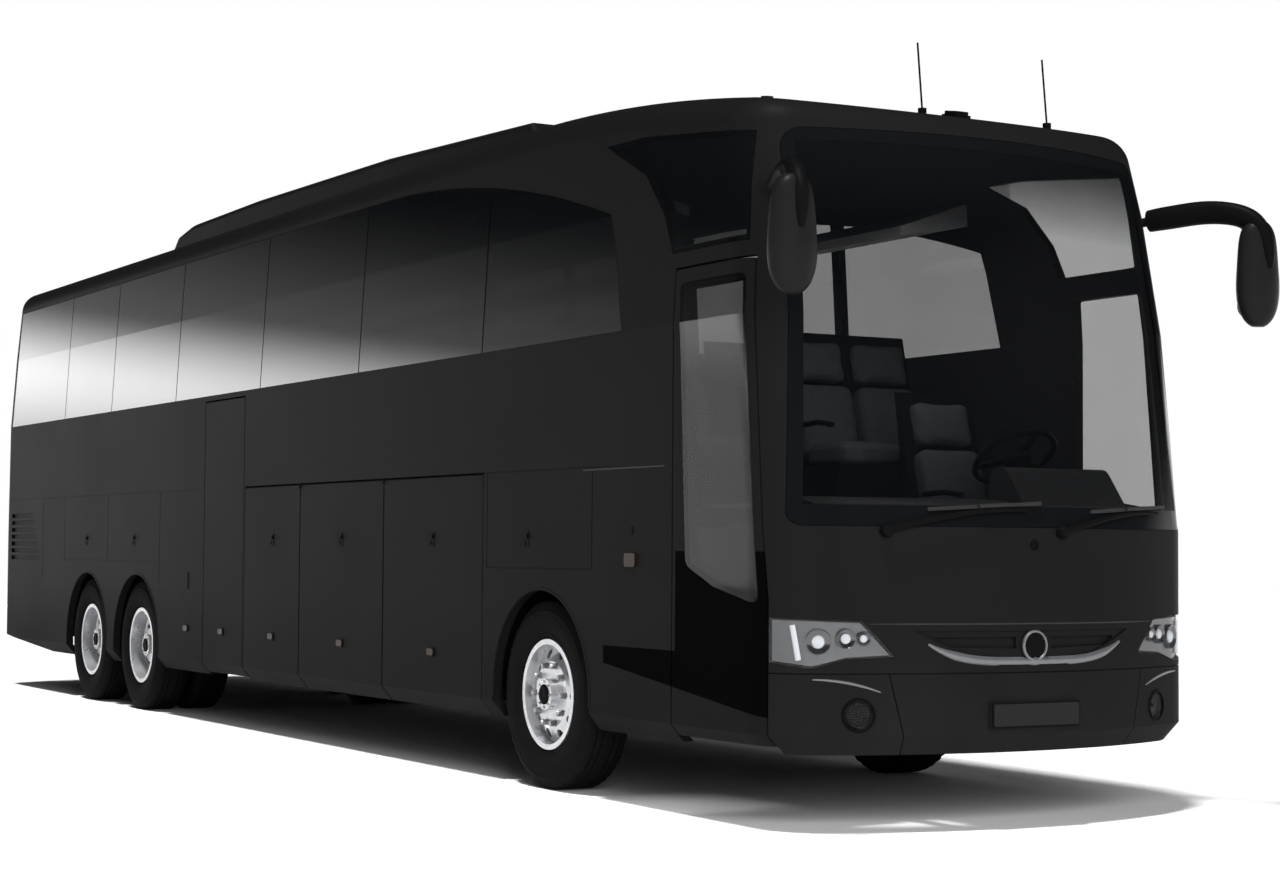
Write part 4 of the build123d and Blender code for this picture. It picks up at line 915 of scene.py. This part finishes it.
NUTS, NUT_CIRCLE, CAP_BOLTS, CAP_BOLT_CIRCLE = 10, 0.162, 8, 0.07
HUB_CAP_LINE = [(0.055, -0.003), (0.055, 0.004), (0.05, 0.008), (0.03, 0.01), (0.026, 0.007), (0, 0.007)]
NUT_LINE = [(0.02, -0.002), (0.02, 0.004), (0.0165, 0.005), (0.0165, 0.03), (0.013, 0.036), (0, 0.038)]
BOLT_LINE = [(0.007, -0.002), (0.007, 0.005), (0.005, 0.007), (0, 0.007)]
DISC_FACE = {"front": 0.097, "drive": -0.03, "tag": -0.03}
CAP_FACE = {"front": 0.142, "drive": 0.085, "tag": 0.085}
for axle in AXLES:
    twin = axle == "drive"
    for sign, word in ((1, "left"), (-1, "right")):
        kinds = ("wheel", "tyre", "rim")
        body, tyre_node, rim_node = (f"{axle}_{word}_{kind}" + "s" * twin for kind in kinds)
        middle = hub_place(axle, sign)
        bm = bmesh.new()
        tyre(bm, middle)
        if twin:
            tyre(bm, hub_place(axle, sign, TWIN_SPACING))
        piece = add(new_object(f"{axle}_{word}_road_tyre", bm, rubber), body, "tyre_rubber")
        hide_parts(tyre_node)
        dress(rubber, tyre_node)
        dress(alloy, rim_node)
        for kind, line, count, circle, lift in (
            ("nuts", NUT_LINE, NUTS, NUT_CIRCLE, DISC_FACE[axle]),
            ("cap_bolts", BOLT_LINE, CAP_BOLTS, CAP_BOLT_CIRCLE, CAP_FACE[axle]),
        ):
            bm = bmesh.new()
            turned(bm, line, 6)
            face = middle @ Matrix.Translation((0, 0, lift))
            ring = (circle, 0, 0)
            bolts = repeated(f"{axle}_{word}_{kind}", bm, ring_tree, count, ring, nut_steel, face)
            add(bolts, body, "polished_alloy")
        add_turned(f"{axle}_{word}_hub_cap", HUB_CAP_LINE, 40, face, plastic, body, "black_plastic")

# Seats: a foam cushion, back and headrest for each place, covered in woven cloth, on a moulded shell.
# Rows of pairs are bolted to the deck, with a gap at the middle door and one seat for the driver.
cloth, shader, place = finish("seat_cloth", (0.02, 0.0205, 0.022), 0.9, Specular_IOR_Level=0.1)
threads = {"Vector": place, "Scale": 180.0, "Distortion": 2.0, "Detail": 2.0}
weave = place.add("ShaderNodeTexWave", sockets=threads)
wear = weave * 0.5 + mottle(place, 0.05) * 0.5
feed(shader, "Base Color", tint(wear, (0.018, 0.0185, 0.02), (0.042, 0.043, 0.046)))
bump(shader, weave, 0.0006)
PAD_CUTS, PAD_SQUARENESS = 11, 7.0


def pad(bm, place, size, crown):
    """A stuffed block with round edges and corners, and a crowned face on +z."""
    block = bmesh.new()
    bmesh.ops.create_cube(block, size=1)
    bmesh.ops.subdivide_edges(block, edges=block.edges, cuts=PAD_CUTS, use_grid_fill=True)
    for v in block.verts:
        u = Vector([2 * c for c in v.co])
        longest = max(abs(c) for c in u)
        u *= longest / sum(abs(c) ** PAD_SQUARENESS for c in u) ** (1 / PAD_SQUARENESS)
        swell = (1 - u.x * u.x) * (1 - u.y * u.y)
        w = Vector((u.x * size[0] / 2, u.y * size[1] / 2, u.z * size[2] / 2))
        if u.z > 0:
            w.z += crown * swell * u.z
        v.co = place @ w
    made = bpy.data.meshes.new("pad")
    block.to_mesh(made)
    block.free()
    bm.from_mesh(made)
    bpy.data.meshes.remove(made)


BACK_LEAN, BACK_FOOT_Z = math.radians(-15), 0.36


def on_back(x, up):
    """Matrix of a pad whose face looks forward from the leaning back, at a length up along it."""
    lean = Matrix.Rotation(BACK_LEAN, 4, "Y")
    forward = Matrix.Rotation(math.radians(90), 4, "Y")
    return Matrix.Translation((x, 0, BACK_FOOT_Z)) @ lean @ Matrix.Translation((0, 0, up)) @ forward


def seat(bm, width, height):
    """One place, with its cushion's back edge at the origin, floor at z = 0 and facing +x."""
    pad(bm, Matrix.Translation((0.235, 0, 0.385)), (0.42, width, 0.105), 0.018)
    pad(bm, on_back(-0.01, height * 0.31), (height * 0.6, width, 0.1), 0.016)
    pad(bm, on_back(-0.02, height * 0.79), (height * 0.33, width * 0.86, 0.085), 0.014)


PRESSURE, LAST_FRAME, SWELL = 4, 20, 0.012


def stuffed(bm):
    """Blow closed pads up under light pressure as cloth; no point moves further than the swell."""
    form = new_object("pad_form", bm, cloth)
    start = [v.co.copy() for v in form.data.vertices]
    filling = form.modifiers.new("filling", "CLOTH")
    filling.settings.use_pressure = True
    filling.settings.uniform_pressure_force = PRESSURE
    filling.settings.effector_weights.gravity = 0
    filling.point_cache.frame_end = LAST_FRAME
    for number in range(1, LAST_FRAME + 1):
        scene.frame_set(number)
    ready = form.evaluated_get(bpy.context.evaluated_depsgraph_get())
    blown = bmesh.new()
    blown.from_mesh(ready.to_mesh())
    for v, home in zip(blown.verts, start):
        move = v.co - home
        v.co = home + move * min(1.0, SWELL / max(move.length, 1e-9))
    bpy.data.objects.remove(form)
    scene.frame_set(1)
    return blown


BASE_LINE = [(0.02, 0.02), (0.3, 0.02), (0.42, 0.3), (0.42, 0.33), (0.02, 0.33)]
BACK_LINE = [(-0.11, 0.31), (-0.03, 0.31), (-0.135, 0.72), (-0.235, 1.12), (-0.255, 1.12), (-0.19, 0.72)]


def shell(bm, half):
    """Moulded base, back and armrest behind the pads of one pair of places."""
    for profile in (BASE_LINE, BACK_LINE):
        sweep(bm, [Vector((0, -half, 0)), Vector((0, half, 0))], Vector((0, 0, 1)), profile)
    arm = [Vector((0.02, -half, 0.56)), Vector((0.2, -half, 0.57)), Vector((0.34, -half, 0.55))]
    sweep(bm, arm, Vector((0, 0, 1)), oval(0.02, 0.016, 8))


SEAT_PITCH, FIRST_SEAT_X, DECK_Z = 0.8, 4.47, 1.46
PAIR_Y, PLACE_WIDTH, PLACE_GAP, BACK_HEIGHT = 0.7225, 0.45, 0.02, 0.76
dress(cloth, "passenger_seats", "driver_seat")
bm = bmesh.new()
seat(bm, PLACE_WIDTH - PLACE_GAP, BACK_HEIGHT)
place_pads = bpy.data.meshes.new("place_pads")
blown = stuffed(bm)
blown.to_mesh(place_pads)
blown.free()
ROWS = {1: [range(0, 13)], -1: [range(0, 6), range(8, 13)]}
for sign, word in ((1, "left"), (-1, "right")):
    for part, runs in enumerate(ROWS[sign]):
        start = Matrix.Translation((FIRST_SEAT_X - runs[0] * SEAT_PITCH, sign * PAIR_Y, DECK_Z))
        bm = bmesh.new()
        shell(bm, PLACE_WIDTH)
        row = (-SEAT_PITCH, 0, 0)
        tub = repeated(f"{word}_seat_shells_{part}", bm, row_tree, len(runs), row, plastic, start)
        add(tub, "body", "black_plastic")
        bm = bmesh.new()
        bm.from_mesh(place_pads)
        bmesh.ops.translate(bm, verts=bm.verts, vec=(0, -PLACE_WIDTH, 0))
        bm.from_mesh(place_pads)
        bmesh.ops.translate(bm, verts=bm.verts, vec=(0, PLACE_WIDTH / 2, 0))
        pads = repeated(f"{word}_seat_pads_{part}", bm, row_tree, len(runs), row, cloth, start)
        add(pads, "body", "seat_cloth")
        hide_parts("passenger_seats")
DRIVER_SPOT = Matrix.Translation((5.52, 0.62, 1.05))
DRIVER_HALF = 0.25
bm = bmesh.new()
bm.from_mesh(place_pads)
bpy.data.meshes.remove(place_pads)
pads = new_object("driver_pads", bm, cloth)
pads.data.transform(DRIVER_SPOT)
add(pads, "body", "seat_cloth")
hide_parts("driver_seat")
bm = bmesh.new()
shell(bm, DRIVER_HALF)
tub = new_object("driver_shell", bm, plastic)
tub.data.transform(DRIVER_SPOT)
add(tub, "body", "black_plastic")

# Cab: a moulded dashboard in soft grained plastic, with a display under the hood, a row of switches
# and a bright steel grab rail screwed across the inside of the front door. The racks are lined in felt.
trim, shader, place = finish("cab_trim", (0.022, 0.0223, 0.023), 0.7, Specular_IOR_Level=0.05)
bump(shader, mottle(place, 0.0012), 0.0002)
worn(shader, place, 0.25, 0.52, 0.67)
dress(trim, "dashboard")
lining, shader, place = finish("rack_lining", (0.16, 0.16, 0.165), 0.8)
worn(shader, place, 0.2, 0.72, 0.87)
bump(shader, mottle(place, 0.003), 0.0005)
dress(lining, "luggage_racks")
screen_glass, shader, place = finish("display_glass", (0.01, 0.012, 0.016), 0.1)
worn(shader, place, 0.05, 0.06, 0.11)
bright, shader, place = finish("bright_trim", (0.3, 0.305, 0.315), 0.25, 1.0)
worn(shader, place, 0.05, 0.2, 0.3)
dress(plastic, "steering_wheel")
BEHIND_DASH_X, DISPLAY_Y, DISPLAY_Z = 4.5, 0.62, 1.655
SWITCHES, SWITCH_Y, SWITCH_PITCH, SWITCH_Z = 9, 0.05, 0.04, 1.44
RADIO_Y, RADIO_Z = -0.11, 1.37
on_dash = lying(skin("dashboard"), lambda u, v: (BEHIND_DASH_X, u, v), (1, 0, 0))
pane = rounded(0.2, 0.055, 0.02, (DISPLAY_Y, DISPLAY_Z))
add_plate("instrument_display", pane, on_dash, -0.002, 0.004, 0.05, screen_glass, "body", "black_plastic")
bm = bmesh.new()
for i in range(SWITCHES):
    key = rounded(0.014, 0.011, 0.004, (SWITCH_Y - SWITCH_PITCH * i, SWITCH_Z))
    plate(bm, key, on_dash, -0.002, 0.006, 0.02)
plate(bm, rounded(0.11, 0.03, 0.01, (RADIO_Y, RADIO_Z)), on_dash, -0.002, 0.003, 0.04)
add(new_object("dash_switches", bm, plastic), "body", "black_plastic")
RAIL_Z, RAIL_LENGTH, RAIL_INSET, RAIL_STAND = 1.52, 0.58, (0.06, 0.075), 0.045
pane_low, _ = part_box("front_door_glass")
rail_start = Vector((pane_low.x + RAIL_INSET[0], pane_low.y + RAIL_INSET[1], RAIL_Z))
rail = [rail_start + Vector((RAIL_LENGTH * i / 10, 0, 0)) for i in range(11)]
bm = bmesh.new()
sweep(bm, rail, Vector((0, 0, 1)), oval(0.016, 0.016, 12))
for end in (rail[0], rail[-1]):
    sweep(bm, [end, end - Vector((0, RAIL_STAND, 0))], Vector((0, 0, 1)), oval(0.012, 0.012, 12))
add(new_object("door_grab_rail", bm, bright), "front_door", "polished_alloy")

# Deck: grained floor sheet glued to the passenger floor, and the welded steel under it in black chassis
# paint, with the axles, the knuckles and the arms of the doors.
flooring, shader, place = finish("floor_sheet", (0.06, 0.06, 0.065), 0.7)
worn(shader, place, 0.3, 0.6, 0.8)
bump(shader, mottle(place, 0.004), 0.0004)
dress(flooring, "passenger_floor")
steel, shader, place = finish("chassis_paint", (0.01, 0.01, 0.0105), 0.6, Specular_IOR_Level=0.2)
worn(shader, place, 0.2, 0.5, 0.75, 5)
dress(
    steel,
    *("underframe", "hold_tub", "engine_block", "front_axle", "drive_axle", "tag_axle"),
    *("front_left_knuckle", "front_right_knuckle", "front_door_arm", "middle_door_arm"),
)

# Roof: condenser fans under wire guards in the roof housing, a low pod over the screen and two
# clearance lamps at the front corners, all screwed to the roof skin.
dress(plastic, "aerials")
housing_skin = skin("roof_housing")
HIGH = 6
FANS = [(x, y) for x in (-1.9, 0.4, 2.6) for y in (-0.45, 0.45)]
FAN_RIM_LINE = [(0.3, -0.02), (0.3, 0.012), (0.285, 0.018), (0.272, 0.012), (0.27, -0.02)]
FAN_HUB_LINE = [(0.09, -0.02), (0.09, 0.014), (0.08, 0.018), (0, 0.02)]
FAN_WIRES, FAN_SPOKES, SPOKE_START = (0.23, 0.18, 0.13), 12, 0.085
for number, (x, y) in enumerate(FANS):
    seat_spot = facing(meet(housing_skin, (x, y, HIGH), (0, 0, -1))[0], Vector((0, 0, 1)))
    bm = bmesh.new()
    turned(bm, FAN_RIM_LINE, 48, seat_spot)
    for radius in FAN_WIRES:
        path = [seat_spot @ Vector((a, b, 0.01)) for a, b in oval(radius, radius, 40)]
        sweep(bm, path, Vector((0, 0, 1)), oval(0.004, 0.004, 6), closed=True)
    turned(bm, FAN_HUB_LINE, 32, seat_spot)
    add(new_object(f"fan_guard_{number}", bm, plastic), "body", "black_plastic")
    bm = bmesh.new()
    spoke = [Vector((0, 0, 0.008)), Vector((0.095, 0, 0.012)), Vector((0.195, 0, 0.008))]
    sweep(bm, spoke, Vector((0, 0, 1)), oval(0.004, 0.004, 6))
    ring = (SPOKE_START, 0, 0)
    spokes = repeated(f"fan_spokes_{number}", bm, ring_tree, FAN_SPOKES, ring, plastic, seat_spot)
    add(spokes, "body", "black_plastic")
on_roof = lying(skin("roof_panel", "windscreen_frame"), lambda u, v: (u, v, HIGH), (0, 0, -1))
for name, x, y, half_u, half_v, high, material, slot in (
    ("roof_pod", 6.3, 0.0, 0.07, 0.05, 0.035, plastic, "black_plastic"),
    ("right_clearance_lamp", 5.95, -0.9, 0.05, 0.025, 0.022, dark_lens, "lamp_lens"),
    ("left_clearance_lamp", 5.95, 0.9, 0.05, 0.025, 0.022, dark_lens, "lamp_lens"),
):
    bm = bmesh.new()
    for inset, low, top in ((0, -0.003, high * 0.5), (0.012, high * 0.5, high)):
        shape = rounded(half_u - inset, half_v - inset * 0.6, half_v * 0.5, (x, y))
        plate(bm, shape, on_roof, low, top, 0.04)
    add(new_object(name, bm, material), "body", slot)

# Rear: dark strips with round lamps set in bright rings, and louvres and a pull handle on the engine
# lid. The lenses are moulded and clipped in, the louvres are riveted on.
lens_red, shader, place = finish("red_lens", (0.3, 0.01, 0.01), 0.15)
worn(shader, place, 0.01, 0.1, 0.2)
amber, shader, place = finish("amber_lens", (0.5, 0.16, 0.02), 0.2)
worn(shader, place, 0.01, 0.12, 0.22)
dress(plastic, "tail_lamps")
FAR_BEHIND = -9


def on_rear(node):
    """A rule that lays (y, z) on a rear panel."""
    return lying(skin(node), lambda u, v: (FAR_BEHIND, u, v), (1, 0, 0))


TAIL_Y = 1.07
TAIL_LENSES = [(1.08, lens_red), (1.26, amber), (1.44, lens_red), (1.64, lens_red)]
LENS_LINE = [(0.062, -0.004), (0.062, 0.003), (0.05, 0.007), (0.025, 0.009), (0, 0.0095)]
LENS_RING = [(0.07, -0.004), (0.07, 0.004), (0.066, 0.006), (0.062, 0.004), (0.062, -0.004)]
lay = on_rear("tail_lamps")
for sign, word in ((-1, "right"), (1, "left")):
    for number, (z, material) in enumerate(TAIL_LENSES):
        seat_spot = facing(lay(sign * TAIL_Y, z, 0), Vector((-1, 0, 0)))
        tail = f"{word}_tail"
        add_turned(f"{tail}_lens_{number}", LENS_LINE, 40, seat_spot, material, "body", "red_lens")
        add_turned(f"{tail}_ring_{number}", LENS_RING, 40, seat_spot, bright, "body", "polished_alloy")
LOUVRE_SECTION = [(-0.02, -0.002), (0.018, -0.002), (0.018, 0.001), (-0.018, 0.011)]
LOUVRES, LOUVRE_Z, LOUVRE_PITCH, LOUVRE_HALF = 9, 1.34, 0.055, 0.62
HANDLE_Z = 0.86
lay = on_rear("engine_lid")
bm = bmesh.new()
for i in range(LOUVRES):
    path = [lay(LOUVRE_HALF * (j / 10 - 1), LOUVRE_Z + LOUVRE_PITCH * i, 0.0) for j in range(21)]
    sweep(bm, path, Vector((-1, 0, 0)), LOUVRE_SECTION)
add(new_object("lid_louvres", bm, plastic), "engine_lid", "black_plastic")
grip = rounded(0.09, 0.024, 0.02, (0, HANDLE_Z))
add_plate("lid_handle", grip, lay, -0.002, 0.01, 0.04, plastic, "engine_lid", "black_plastic")
